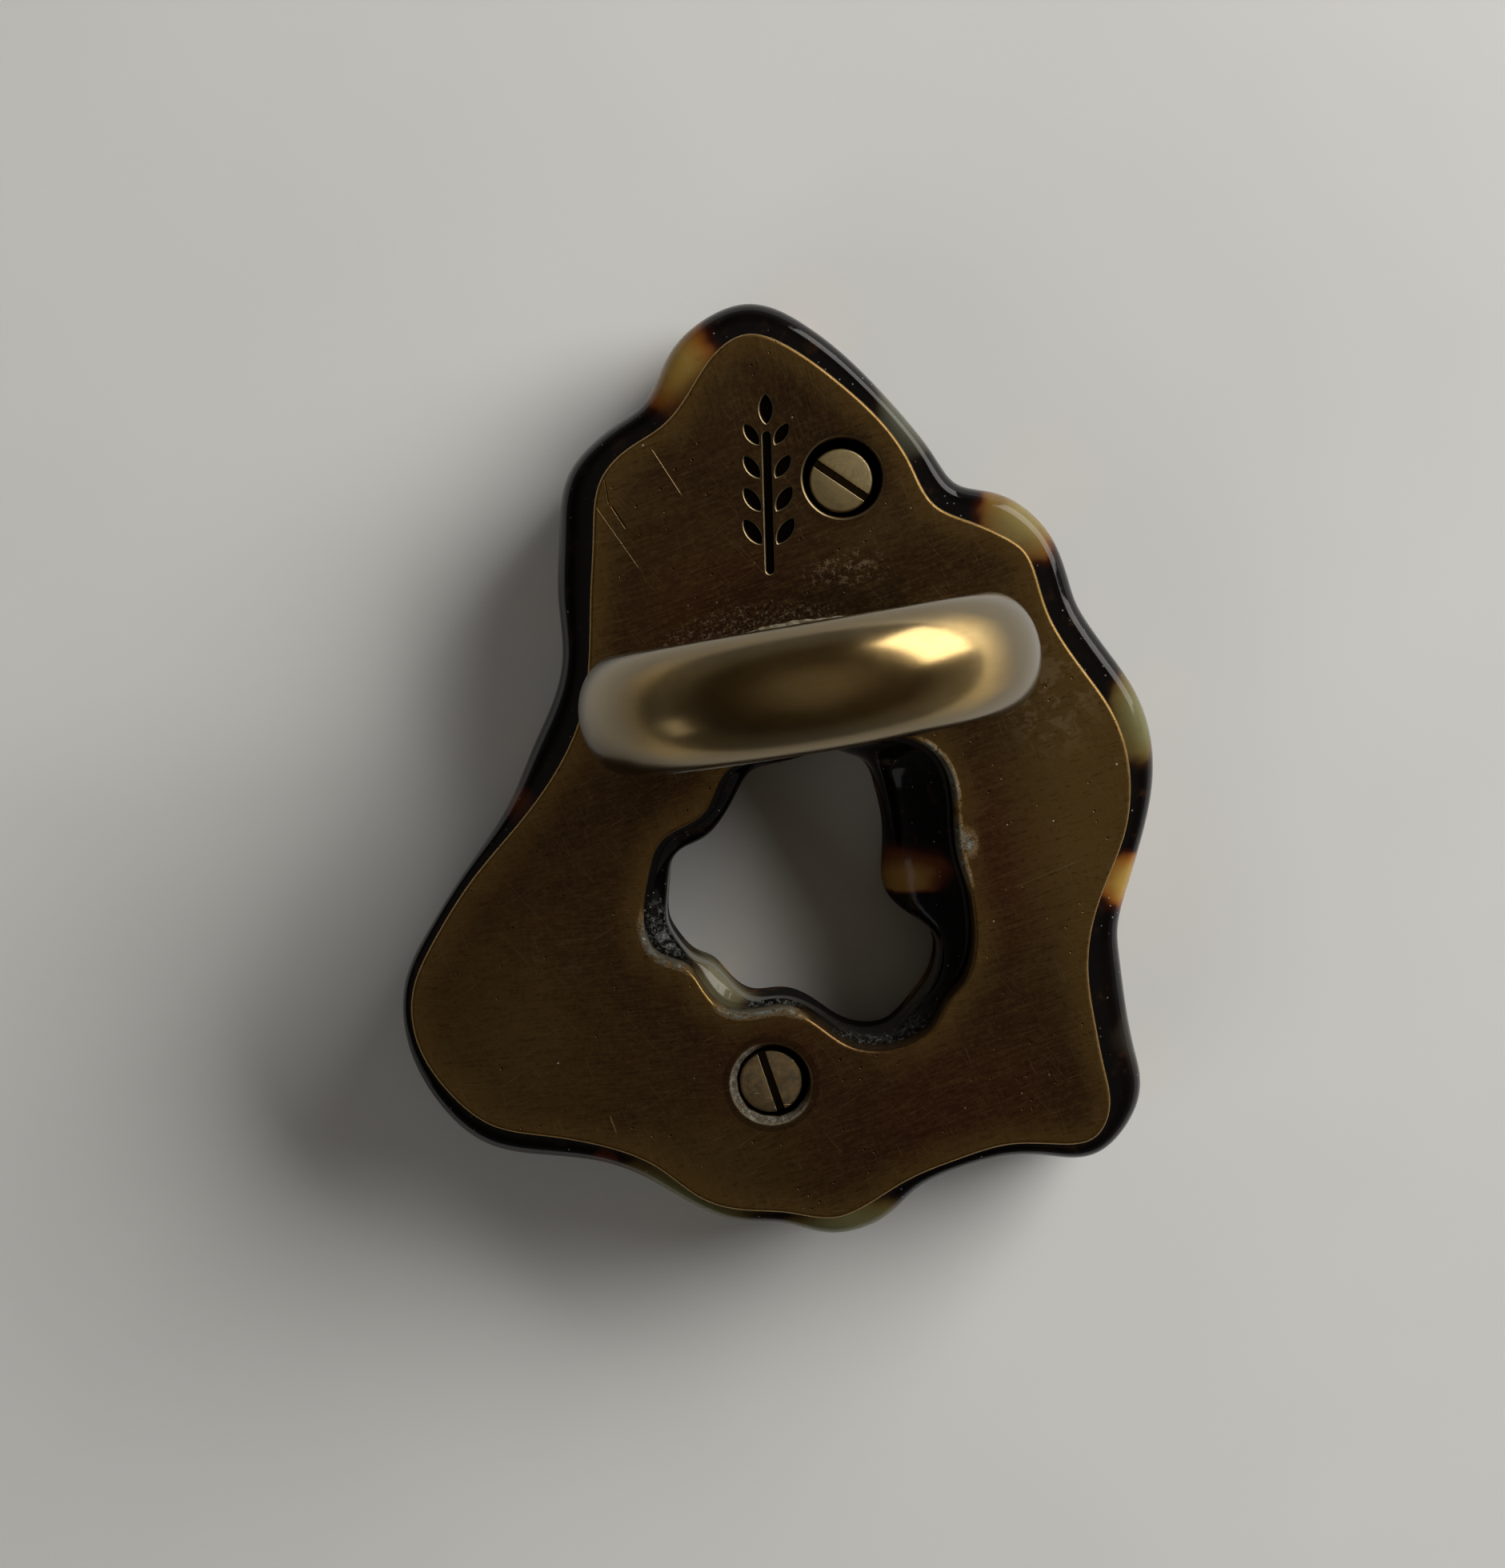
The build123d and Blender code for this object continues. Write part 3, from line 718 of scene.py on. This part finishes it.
def shell_pattern(g, level):
    """Near-black brown with patches on the rim and in the opening, and amber clouds low on the sides."""
    sway = g.vector("SUBTRACT", g.noises(0.5), (0.5, 0.5, 0.5))
    below = g.ramp(level, WIDEST_Z - 0.3, FRONT_Z, 1.6, 9.0)
    place = g.vector("ADD", g.place, g.vector("SCALE", sway, Scale=below))
    colour = g.blend(g.noise(0.3, 3, offset=9), SLAB["blue-black"], SLAB["brown-black"])
    cloud = g.ramp(g.noise(0.16, 3, 0.55, place, offset=19), 0.50, 0.70)
    shown = [(g.times(cloud, g.ramp(level, WIDEST_Z - 0.6, WIDEST_Z - 2.2)), AMBER)]
    for (x, y), (half_x, half_y), colours in PATCHES:
        patch = g.near((x, y, PATCH_Z), (half_x, half_y, PATCH_HALF_HEIGHT), 0.15, 1.05, place)
        shown.append((patch, colours))
    north = g.vector("ADD", g.place, g.vector("SCALE", sway, Scale=0.5))
    north = g.vector("DOT_PRODUCT", north, (0.10, 1, 0))
    stripe = g.times(g.ramp(north, -12.1, -11.7), g.ramp(north, -8.7, -11.5))
    flat = g.vector("MULTIPLY", place, (1, 1, 0))
    stripe = g.times(stripe, g.near((3.0, -11.0, 0), (3.7, 3.6, 1), 0.30, 1.0, flat))
    shown.append((stripe, STRIPE))
    for depth, colours in shown:
        colour = g.blend(g.ramp(depth, 0.0, 0.30), colour, g.shade(depth, colours))
    streaks = g.noise(0.9, 4, 0.6, place, offset=37)
    return g.blend(g.ramp(streaks, 0.55, 0.8, 0, 0.35), colour, SLAB["streak"])


def tortoiseshell():
    """Polished cellulose acetate, dusty and crusted in places, left unpolished deep in the opening."""
    g = Material("tortoiseshell_acetate", IOR=1.49, Specular_IOR_Level=0.36)
    level = g.level()
    colour = shell_pattern(g, level)
    dust = g.times(g.specks(3.1, 0.17, 0.30), g.ramp(g.noise(0.4, 2, offset=29), 0.42, 0.62))
    colour = g.blend(g.times(dust, 0.7), colour, SLAB["dust"])
    haze = g.times(g.near((1.6, -18.4, PLATE_BACK_Z - 1.0), (5.6, 2.8, 3.0), 0.3),
                   g.ramp(g.noise(1.4, 5, 0.7, offset=63), 0.30, 0.65, 0.15, 0.65))
    colour = g.blend(haze, colour, SLAB["haze"])
    crust = g.strongest(
        g.near((-9.6, -12.4, PLATE_BACK_Z), (2.2, 2.6, 1.5), 0.4),
        g.near((1.2, -19.4, PLATE_BACK_Z), (4.4, 1.3, 1.0), 0.4),
        g.near((-4.2, -16.6, PLATE_BACK_Z), (2.2, 0.9, 0.8), 0.4))
    crust = g.times(crust, g.ramp(g.noise(3.6, 6, 0.8, offset=53), 0.49, 0.66, 0, 0.75))
    colour = g.blend(crust, colour, SLAB["crust"])
    wipes = g.noise(1.0, 3, 0.6, g.turned(35, (0.6, 7, 3)), offset=8)
    g.height((wipes, 0.0008), (dust, 0.02), (crust, 0.03), (g.noise(0.5, 2, offset=3), 0.02))
    polish = g.ramp(wipes, 0.35, 0.75, 0.06, 0.12)
    unpolished = g.times(g.near((-1.8, -11.8, FRONT_Z), (10.5, 10, 5.4), 0.88),
                         g.ramp(level, PLATE_BACK_Z - 0.7, PLATE_BACK_Z - 1.4))
    rough = g.strongest(
        g.number("ADD", polish, g.times(dust, 0.5), clamp=True),
        g.times(unpolished, 0.8), g.times(crust, 0.9), g.times(haze, 0.6))
    return g.finish(colour, rough)


def turned_brass(node, name, tint, stain):
    """A screw head: faced in the lathe, nicked by handling, stained by some share, with painted shade in its
    slot and at its rim.
    """
    g = Material(name, Metallic=1.0)
    cloud = g.noise(1.1, 5, 0.65, offset=14)
    colour = g.blend(g.ramp(cloud, 0.40, 0.70, 0, stain), tint, (0.34, 0.22, 0.12))
    film = g.ramp(g.noise(2.2, 5, 0.7, offset=52), 0.45, 0.65, 0, stain)
    colour = g.blend(film, colour, (0.33, 0.31, 0.26))
    away = g.vector("SUBTRACT", g.place, (*head_centre(node), FACE_Z))
    spread = g.vector("LENGTH", g.vector("MULTIPLY", away, (1, 1, 0)))
    rings = g.noise(7.0, 3, 0.7, g.vector("SCALE", (1, 0, 0), Scale=spread))
    colour = g.blend(g.ramp(rings, 0.4, 0.65, 0, 0.25), colour, (0.50, 0.38, 0.19))
    lines = g.noise(1.0, 3, 0.7, g.turned(63, (0.6, 14, 1)), offset=27)
    nick = g.ramp(g.noise(1.0, 2, 0.5, g.turned(-15, (0.5, 9, 1)), offset=33), 0.68, 0.74)
    colour = g.blend(g.times(nick, 0.5), colour, (0.80, 0.66, 0.40))
    # Painted shade with some soiling: the slot and lower head darken with depth, and the head's rim darkens
    # towards the counterbore.
    deep_grime_and_shade = g.ramp(g.level(), FACE_Z - 0.42, FACE_Z - 0.62, 0, 0.97)
    rim = g.ramp(spread, HEAD_RADIUS - 0.14, HEAD_RADIUS + 0.04, 0, 0.3)
    dirt_and_shade = [channel * (1.2 - stain) for channel in (0.050, 0.033, 0.018)]
    colour = g.blend(g.strongest(deep_grime_and_shade, rim), colour, dirt_and_shade)
    g.height((lines, 0.003), (rings, 0.003), (nick, -0.012), (cloud, 0.015))
    return g.finish(colour, g.ramp(lines, 0.3, 0.8, 0.38, 0.52))


def machined_brass():
    """The hidden inserts: bright, with turning lines."""
    g = Material("machined_brass", Metallic=1.0)
    rings = g.noise(1.0, 2, 0.5, g.turned(0, (0.4, 0.4, 14)))
    colour = g.blend(rings, (0.55, 0.40, 0.16), (0.72, 0.55, 0.26))
    g.height((rings, 0.01))
    return g.finish(colour, g.ramp(rings, 0.3, 0.7, 0.2, 0.35))


def rough_braze():
    """The braze run: grey-gold, dull, with pale flux left on it."""
    g = Material("rough_braze", Metallic=0.85)
    flux = g.ramp(g.noise(2.6, 6, 0.7, offset=12), 0.44, 0.6)
    colour = g.blend(flux, (0.30, 0.23, 0.12), (0.56, 0.52, 0.44))
    g.height((g.noise(3.5, 5, 0.7, offset=21), 0.08), (flux, 0.03))
    return g.finish(colour, g.ramp(flux, 0, 1, 0.38, 0.75))


# ---- slab
def quarter(steps):
    """Angles of a quarter turn, both ends included."""
    return [math.pi / 2 * step / steps for step in range(steps + 1)]


def rolled(shell, flat, bulged, flat_z, bulged_z, steps=16):
    """Rings round a full quarter-oval roll, from the edge of a flat face to the contour it rolls to."""
    rings = []
    for angle in quarter(steps):
        reach = math.sin(angle) ** (2 / ROLL_FULLNESS)
        rise = max(math.cos(angle), 0.0) ** (2 / ROLL_FULLNESS)
        rings.append(shell.ring(flat + (bulged - flat) * reach, bulged_z + (flat_z - bulged_z) * rise))
    return rings


def hollowed(edge, waist, depth):
    """The hole's outline at a depth: its wall slopes in from the edge and turns down at the waist."""
    reach = np.maximum(np.linalg.norm(waist - edge, axis=1, keepdims=True), 0.01)
    share = depth / math.tan(math.radians(HOLE_SLOPE)) / reach
    share /= (1 + share ** HOLE_CORNER) ** (1 / HOLE_CORNER)
    return edge + (waist - edge) * share


def build_slab(material):
    """Pebble-edged slab with its opening and the pockets for the two inserts."""
    shell = Shell()
    waist_z = FRONT_Z + WAIST_LIFT
    widest = outer_curve(slab_widest)
    waist = inner_curve(slab_waist)
    back = rolled(shell, outer_curve(grown(plate_outline, SLAB_REVEAL)), widest, PLATE_BACK_Z, WIDEST_Z)
    front = rolled(shell, outer_curve(grown(plate_outline, -FRONT_INSET)), widest, FRONT_Z, WIDEST_Z)
    shell.walls(back + front[-2::-1])
    edge = inner_curve(grown(plate_opening, -SLAB_REVEAL))
    mouth = []
    for share in np.linspace(0, 1, 24)[:-1] ** 1.4:
        depth = share * (PLATE_BACK_Z - waist_z)
        mouth.append(shell.ring(hollowed(edge, waist, depth), PLATE_BACK_Z - depth))
    mouth.append(shell.ring(waist, waist_z))
    flare = rolled(shell, inner_curve(grown(slab_waist, FRONT_FLARE)), waist, FRONT_Z, waist_z)
    shell.walls(mouth + flare[-2::-1])
    back_rings = [back[0], mouth[0]]
    for node in SLOT_ANGLES:
        outline = circle(centre_of(node), INSERT_RADIUS)
        top = shell.ring(outline, PLATE_BACK_Z)
        floor = shell.ring(outline, PLATE_BACK_Z - POCKET_DEPTH)
        shell.walls([top, floor])
        shell.cap([floor])
        back_rings.append(top)
    shell.cap(back_rings)
    shell.cap([front[0], flare[0]])
    shell.drop_unused()
    return add_piece("slab_shell", shell.mesh("slab_shell"), "acetate", material, "tortoiseshell_slab")


# ---- plate
def leaf_outline(root, heading, length, steps=14):
    """A clockwise leaf between two arcs, from its root."""
    rise = LEAF_WIDTH / 2 * length / LEAF_LENGTH
    radius = (length ** 2 / 4 + rise ** 2) / (2 * rise)
    run = length * np.arange(steps) / steps
    lift = np.sqrt(radius ** 2 - (run - length / 2) ** 2) - (radius - rise)
    shape = np.concatenate([np.stack([run, lift], axis=1), np.stack([length - run, -lift], axis=1)])
    angle = math.radians(heading)
    turn = np.array([[math.cos(angle), math.sin(angle)], [-math.sin(angle), math.cos(angle)]])
    return shape @ turn + np.asarray(root)


def sprig_outlines():
    """The engraved sprig: a round-ended stem, pairs of leaves and one leaf at the tip."""
    base = np.array(SPRIG_BASE)
    along = np.array(SPRIG_TIP) - base
    length = float(np.linalg.norm(along))
    along = along / length
    heading = math.degrees(math.atan2(along[1], along[0]))
    stem_length = length - LEAF_LENGTH - LEAF_GAP / 2
    half = STEM_WIDTH / 2
    side = np.array([-along[1], along[0]])
    outlines = []
    stem = []
    for end, start_angle in ((half, 90), (stem_length - half, -90)):
        for step in range(9):
            angle = math.radians(start_angle + 180 * step / 8)
            stem.append(base + along * (end + half * math.cos(angle)) + side * half * math.sin(angle))
    outlines.append(np.array(stem)[::-1])
    pitch = stem_length / (LEAF_PAIRS + 0.3)
    for pair in range(LEAF_PAIRS):
        foot = base + along * pitch * (pair + 0.55)
        for turn in (-LEAF_ANGLE, LEAF_ANGLE):
            angle = math.radians(heading + turn)
            root = foot + LEAF_GAP * np.array([math.cos(angle), math.sin(angle)])
            outlines.append(leaf_outline(root, heading + turn, LEAF_LENGTH * (1 - LEAF_SHRINK * pair)))
    outlines.append(leaf_outline(base + along * (length - LEAF_LENGTH), heading, LEAF_LENGTH))
    return outlines


def clearance(points, loops):
    """How far each point is from the nearest of the closed loops."""
    nearest = np.full(len(points), np.inf)
    for loop in loops:
        starts = loop
        runs = np.roll(loop, -1, axis=0) - loop
        for start, run in zip(starts, runs):
            share = np.clip((points - start) @ run / (run @ run), 0, 1)
            away = points - start - share[:, None] * run
            nearest = np.minimum(nearest, np.hypot(away[:, 0], away[:, 1]))
    return nearest


def spread_points(loops):
    """Points of a staggered grid that lie between the loops, clear of each."""
    (left, low), (right, high) = loops[0].min(axis=0), loops[0].max(axis=0)
    columns = np.arange(left, right, GRID_PITCH)
    rows = enumerate(np.arange(low, high, GRID_PITCH))
    points = np.array([(x + GRID_PITCH / 2 * (row % 2), y) for row, y in rows for x in columns])
    return points[inside(points, loops) & (clearance(points, loops) > GRID_CLEARANCE)]


def counterbore(shell, node):
    """The walls of one screw hole, with any residue packed in it.  Returns its top and bottom rings."""
    centre = centre_of(node)
    floor_z = FACE_Z - COUNTERBORE_DEPTH
    wall = circle(centre, COUNTERBORE_RADIUS)
    bore = [
        shell.ring(circle(centre, COUNTERBORE_RADIUS + COUNTERBORE_CHAMFER), FACE_Z),
        shell.ring(wall, FACE_Z - COUNTERBORE_CHAMFER),
    ]
    if node in CLOGGED:
        angles = np.arctan2(wall[:, 1] - centre[1], wall[:, 0] - centre[0]) - math.radians(CLOGGED[node])
        share = (0.5 - 0.5 * np.cos(angles)) ** 0.7
        share *= 1 + 0.10 * np.sin(5 * angles + 1) + 0.07 * np.sin(13 * angles)
        share = np.clip(share, 0, 1)
        for reach, depth in PACKING:
            bore.append(shell.ring(grown(wall, -reach * share), FACE_Z - depth))
    else:
        bore.append(shell.ring(wall, floor_z))
    for z in (floor_z, PLATE_BACK_Z):
        bore.append(shell.ring(circle(centre, CLEARANCE_RADIUS), z))
    shell.walls(bore)
    return bore[0], bore[-1]


def engraved(shell, cut):
    """The walls and floor of one engraved stroke.  Returns its top ring."""
    groove = [
        shell.ring(grown(cut, ENGRAVING_EDGE), FACE_Z),
        shell.ring(cut, FACE_Z - ENGRAVING_EDGE),
        shell.ring(grown(cut, -ENGRAVING_EDGE), FACE_Z - SPRIG_DEPTH),
    ]
    shell.walls(groove)
    shell.cap([groove[-1]])
    return groove[0]


def build_plate(material):
    """Back plate with rounded edges, its opening, counterbored screw holes and the engraving."""
    shell = Shell()
    outline = outer_curve(plate_outline)
    opening = inner_curve(plate_opening)
    top_rings = []
    bottom_rings = []
    for curve, direction in ((outline, -1), (opening, 1)):
        rings = [shell.ring(curve, PLATE_BACK_Z)]
        for angle in quarter(7):
            shift = direction * PLATE_EDGE * (1 - math.cos(angle))
            rings.append(shell.ring(grown(curve, shift), FACE_Z - PLATE_EDGE * (1 - math.sin(angle))))
        shell.walls(rings)
        bottom_rings.append(rings[0])
        top_rings.append(rings[-1])
    for node in SLOT_ANGLES:
        top, bottom = counterbore(shell, node)
        top_rings.append(top)
        bottom_rings.append(bottom)
    top_rings += [engraved(shell, cut) for cut in sprig_outlines()]
    grid = spread_points([np.array([shell.points[number][:2] for number in ring]) for ring in top_rings])
    shell.cap(top_rings, shell.ring(grid, FACE_Z))
    shell.cap(bottom_rings)
    plate = add_piece("plate_shell", shell.mesh("plate_shell"), "brushed_plate", material, "back_plate")
    inset = plate.data.attributes.new("inset", "FLOAT", "POINT")
    inset.data.foreach_set("value", clearance(np.array(shell.points)[:, :2], [outline, opening]))
    return plate


# ---- band
def band_section():
    """The band's half-oval section as (radius, y), round from the bore."""
    side_radius = BORE_RADIUS + BAND_RIM
    section = []
    for step in range(9):
        angle = math.radians(180 - 90 * step / 8)
        section.append((BORE_RADIUS + BORE_EDGE * (1 + math.cos(angle)),
                        HALF_WIDTH - BORE_EDGE * (1 - math.sin(angle))))
    for step in range(41):
        angle = math.radians(90 - 180 * step / 40)
        section.append((side_radius + (CROWN_RADIUS - side_radius) * math.cos(angle),
                        HALF_WIDTH * math.sin(angle)))
    section += [(radius, -y) for radius, y in section[:9][::-1]]
    return section


def build_band(material, turns=288):
    """Half-oval band with its foot cut flat where it stands on the plate."""
    section = band_section()
    work = bmesh.new()
    loops = []
    for turn in range(turns):
        angle = 2 * math.pi * turn / turns
        loops.append([
            work.verts.new((r * math.cos(angle) * MM, y * MM, r * math.sin(angle) * MM)) for r, y in section
        ])
    for turn in range(turns):
        here, after = loops[turn], loops[(turn + 1) % turns]
        for index in range(len(section)):
            other = (index + 1) % len(section)
            work.faces.new((here[index], here[other], after[other], after[index])).smooth = True
    cut = bmesh.ops.bisect_plane(
        work, geom=work.verts[:] + work.edges[:] + work.faces[:], dist=1e-9,
        plane_co=(0, 0, FACE_Z * MM), plane_no=(0, 0, -1), clear_outer=True)
    rim = [item for item in cut["geom_cut"] if isinstance(item, bmesh.types.BMEdge)]
    for face in bmesh.ops.contextual_create(work, geom=rim)["faces"]:
        face.smooth = False
    bmesh.ops.recalc_face_normals(work, faces=work.faces)
    mesh = bpy.data.meshes.new("band_shell")
    work.to_mesh(mesh)
    work.free()
    return add_piece("band_shell", mesh, "polished_band", material, "finger_band")


def band_contour(height, count):
    """The level line of the band's outside at a height above the plate, as x and y."""
    drop = -FACE_Z - height
    side_radius = BORE_RADIUS + BAND_RIM
    widest = math.acos((drop - side_radius) / (CROWN_RADIUS - side_radius))
    points = []
    for step in range(count):
        turn = -2 * math.pi * step / count
        tilt = widest * math.sin(turn)
        radius = side_radius + (CROWN_RADIUS - side_radius) * math.cos(tilt)
        reach = math.sqrt(max(radius ** 2 - drop ** 2, 0.0))
        points.append((math.copysign(reach, math.cos(turn)), HALF_WIDTH * math.sin(tilt)))
    return np.array(points)


def build_braze(material, count=360):
    """The braze run round the band's foot, a little uneven, climbing the band and spreading on the plate."""
    shell = Shell()
    turns = np.arange(count) * 2 * math.pi / count
    ripple = (np.sin(7 * turns + 0.6) + 0.7 * np.sin(17 * turns + 2.1) + 0.5 * np.sin(41 * turns + 4.0)) / 2.2
    foot = band_contour(0.0, count)
    high = band_contour(BRAZE_HEIGHT, count)
    spread = grown(foot, BRAZE_SPREAD + 0.07 * ripple)
    low_z = FACE_Z - BRAZE_OVERLAP
    rings = [shell.ring(grown(foot, -0.1), low_z), shell.ring(grown(high, -0.08), FACE_Z + BRAZE_HEIGHT)]
    for share in np.arange(1, 6) / 5:
        lift = BRAZE_HEIGHT * (1 - share) ** 1.7 + 0.02 * ripple * math.sin(math.pi * share)
        rings.append(shell.ring(high + (spread - high) * share ** 1.5, FACE_Z + lift))
    rings.append(shell.ring(spread, low_z))
    shell.walls(rings + [rings[0]])
    return add_piece("braze_run", shell.mesh("braze_run"), "braze", material, "band_solder")


# ---- screws
def carved(name, body, cutter):
    """The body less the cutter, with its edges softened, as a new mesh."""
    piece = placed(name + "_work", body)
    tool = placed(name + "_cutter_work", cutter)
    cut = piece.modifiers.new("slot", "BOOLEAN")
    cut.operation = "DIFFERENCE"
    cut.solver = "EXACT"
    cut.object = tool
    soften = piece.modifiers.new("soften", "BEVEL")
    soften.width = SOFTENING * MM
    soften.segments = 3
    soften.limit_method = "ANGLE"
    soften.angle_limit = math.radians(35)
    soften.use_clamp_overlap = True
    mesh = bpy.data.meshes.new_from_object(piece.evaluated_get(bpy.context.evaluated_depsgraph_get()))
    bpy.data.objects.remove(piece)
    bpy.data.objects.remove(tool)
    return mesh


def lathe(profile, z, count=96):
    """A turned solid from (centre, radius, height) stations, top first, as a mesh."""
    shell = Shell()
    rings = [shell.ring(circle(centre, radius, count), z + height) for centre, radius, height in profile]
    shell.walls(rings)
    shell.cap([rings[0]])
    shell.cap([rings[-1]])
    return shell.mesh("turned", join_flat=True)


def turned_block(centre, z, size, degrees):
    """A turned box as a mesh, for cutting."""
    work = bmesh.new()
    bmesh.ops.create_cube(work, size=1.0)
    for vertex in work.verts:
        vertex.co = Vector((vertex.co.x * size[0], vertex.co.y * size[1], vertex.co.z * size[2]))
        vertex.co.rotate(Euler((0, 0, math.radians(degrees))))
        vertex.co = (vertex.co + Vector((centre[0], centre[1], z))) * MM
    mesh = bpy.data.meshes.new("cutter")
    work.to_mesh(mesh)
    work.free()
    return mesh


def build_screw(node, material):
    """Slotted cheese-head screw, its shank in line with its insert."""
    axis = centre_of(node)
    head = head_centre(node)
    top = FACE_Z - COUNTERBORE_DEPTH + HEAD_HEIGHT
    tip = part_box(node)[0].z / MM - top
    profile = [(head, HEAD_RADIUS - inset, -drop) for inset, drop in HEAD_EDGE]
    profile += [
        (head, HEAD_RADIUS, -HEAD_HEIGHT), (axis, SHANK_RADIUS, -HEAD_HEIGHT),
        (axis, SHANK_RADIUS, tip + SHANK_RADIUS * (1 - SHANK_TIP)), (axis, SHANK_RADIUS * SHANK_TIP, tip),
    ]
    slot = turned_block(head, top, (4 * HEAD_RADIUS, SLOT_WIDTH, 2 * SLOT_DEPTH), SLOT_ANGLES[node])
    mesh = carved(node, lathe(profile, top), slot)
    for polygon in mesh.polygons:
        polygon.use_smooth = True
    mesh.set_sharp_from_angle(angle=math.radians(30))
    mesh.materials.clear()
    return add_piece(node + "_turned", mesh, "screw_brass", material, node)


# ---- stage
CAMERA_PLACE = (-3.6, 2.8, 115.55)          # mm; in the plane of the band's far side
CAMERA_TURN = (-3.47, -0.64, -9.63)         # degrees about X, Y and Z
CAMERA_LENS = 55.1

# Lights: direction, distance and size in metres, power and colour.
LIGHTS = {
    "window": ((0.83, 0.49, 0.36), 0.62, (0.48, 0.36), 2.0, (1.0, 0.985, 0.94)),
    "daylight": ((0.87, 0.35, 0.38), 0.62, (0.52, 0.38), 4.9, (1.0, 0.99, 0.965)),
    "fill": ((-0.80, -0.50, 0.42), 0.60, (0.50, 0.30), 0.60, (1.0, 0.99, 0.97)),
    "bounce": ((-0.90, -0.33, 0.25), 0.5, (0.16, 0.10), 0.018, (0.95, 0.97, 1.0)),
}
REFLECTED = ("window", "bounce")            # the lights that polished metal shows
FLOOR_HALF = 1.5                            # m

# The surroundings' colour, from the horizon to overhead, and strength, away from the window to its side.
WINDOW_SIDE = (0.86, 0.51, 0)
STRENGTHS = (0.4, 1.5)
SURROUNDINGS = [
    (0.0, (0.135, 0.135, 0.135)), (0.30, (0.100, 0.098, 0.094)), (0.55, (0.030, 0.025, 0.019)),
    (0.82, (0.042, 0.035, 0.026)), (1.0, (0.125, 0.112, 0.095)),
]


def add_camera():
    """The camera looks down on the ring from the finger's side."""
    data = bpy.data.cameras.new("camera")
    data.lens = CAMERA_LENS
    data.clip_start = 0.01
    camera = placed("camera", data)
    camera.location = Vector(CAMERA_PLACE) * MM
    camera.rotation_euler = [math.radians(angle) for angle in CAMERA_TURN]
    bpy.context.scene.camera = camera


def add_light(name, direction, distance, size, energy, colour):
    """A soft rectangular light that faces the ring."""
    data = bpy.data.lights.new(name, "AREA")
    data.shape = "RECTANGLE"
    data.size, data.size_y = size
    data.energy = energy
    data.color = colour
    light = placed(name, data)
    aim = Vector(direction).normalized()
    light.location = aim * distance
    light.rotation_euler = aim.to_track_quat("Z", "Y").to_euler()
    light.visible_glossy = name in REFLECTED


def add_floor():
    """A plain pale floor under the slab's front face."""
    mesh = bpy.data.meshes.new("floor")
    corners = [(x * FLOOR_HALF, y * FLOOR_HALF, 0) for x, y in ((-1, -1), (1, -1), (1, 1), (-1, 1))]
    mesh.from_pydata(corners, [], [(0, 1, 2, 3)])
    floor = placed("floor", mesh)
    floor.location.z = FRONT_Z * MM
    g = Material("pale_floor")
    colour = g.blend(g.noise(0.05, 2), (0.70, 0.70, 0.685), (0.76, 0.76, 0.745))
    mesh.materials.append(g.finish(colour, 0.8))


def add_world():
    """Dim warm surroundings: palest towards the horizon and overhead, and on the window's side."""
    world = bpy.data.worlds.new("studio")
    world.use_nodes = True
    bpy.context.scene.world = world
    g = Graph(world.node_tree, "Generated")
    height = g.add("SeparateXYZ", {0: g.place})["Z"]
    towards = g.vector("DOT_PRODUCT", g.place, Vector(WINDOW_SIDE).normalized())
    dim, bright = STRENGTHS
    strength = g.add("MapRange", {"Value": towards, "From Min": -1.0, "To Min": dim, "To Max": bright})
    background = g.tree.nodes["Background"].inputs
    g.feed(background["Color"], g.shade(height, SURROUNDINGS))
    g.feed(background["Strength"], strength["Result"])


def main():
    add_camera()
    add_floor()
    add_world()
    for name, light in LIGHTS.items():
        add_light(name, *light)
    bpy.context.scene.view_settings.view_transform = "Standard"

    build_slab(tortoiseshell())
    build_plate(brushed_brass())
    build_band(polished_brass())
    build_braze(rough_braze())
    for node, look in SCREW_LOOKS.items():
        build_screw(node, turned_brass(node, *look))
    insert_finish = machined_brass()
    for node in ("upper_insert", "lower_insert"):
        mesh = frame["nodes"][node].data
        mesh.materials.clear()
        mesh.materials.append(insert_finish)


main()
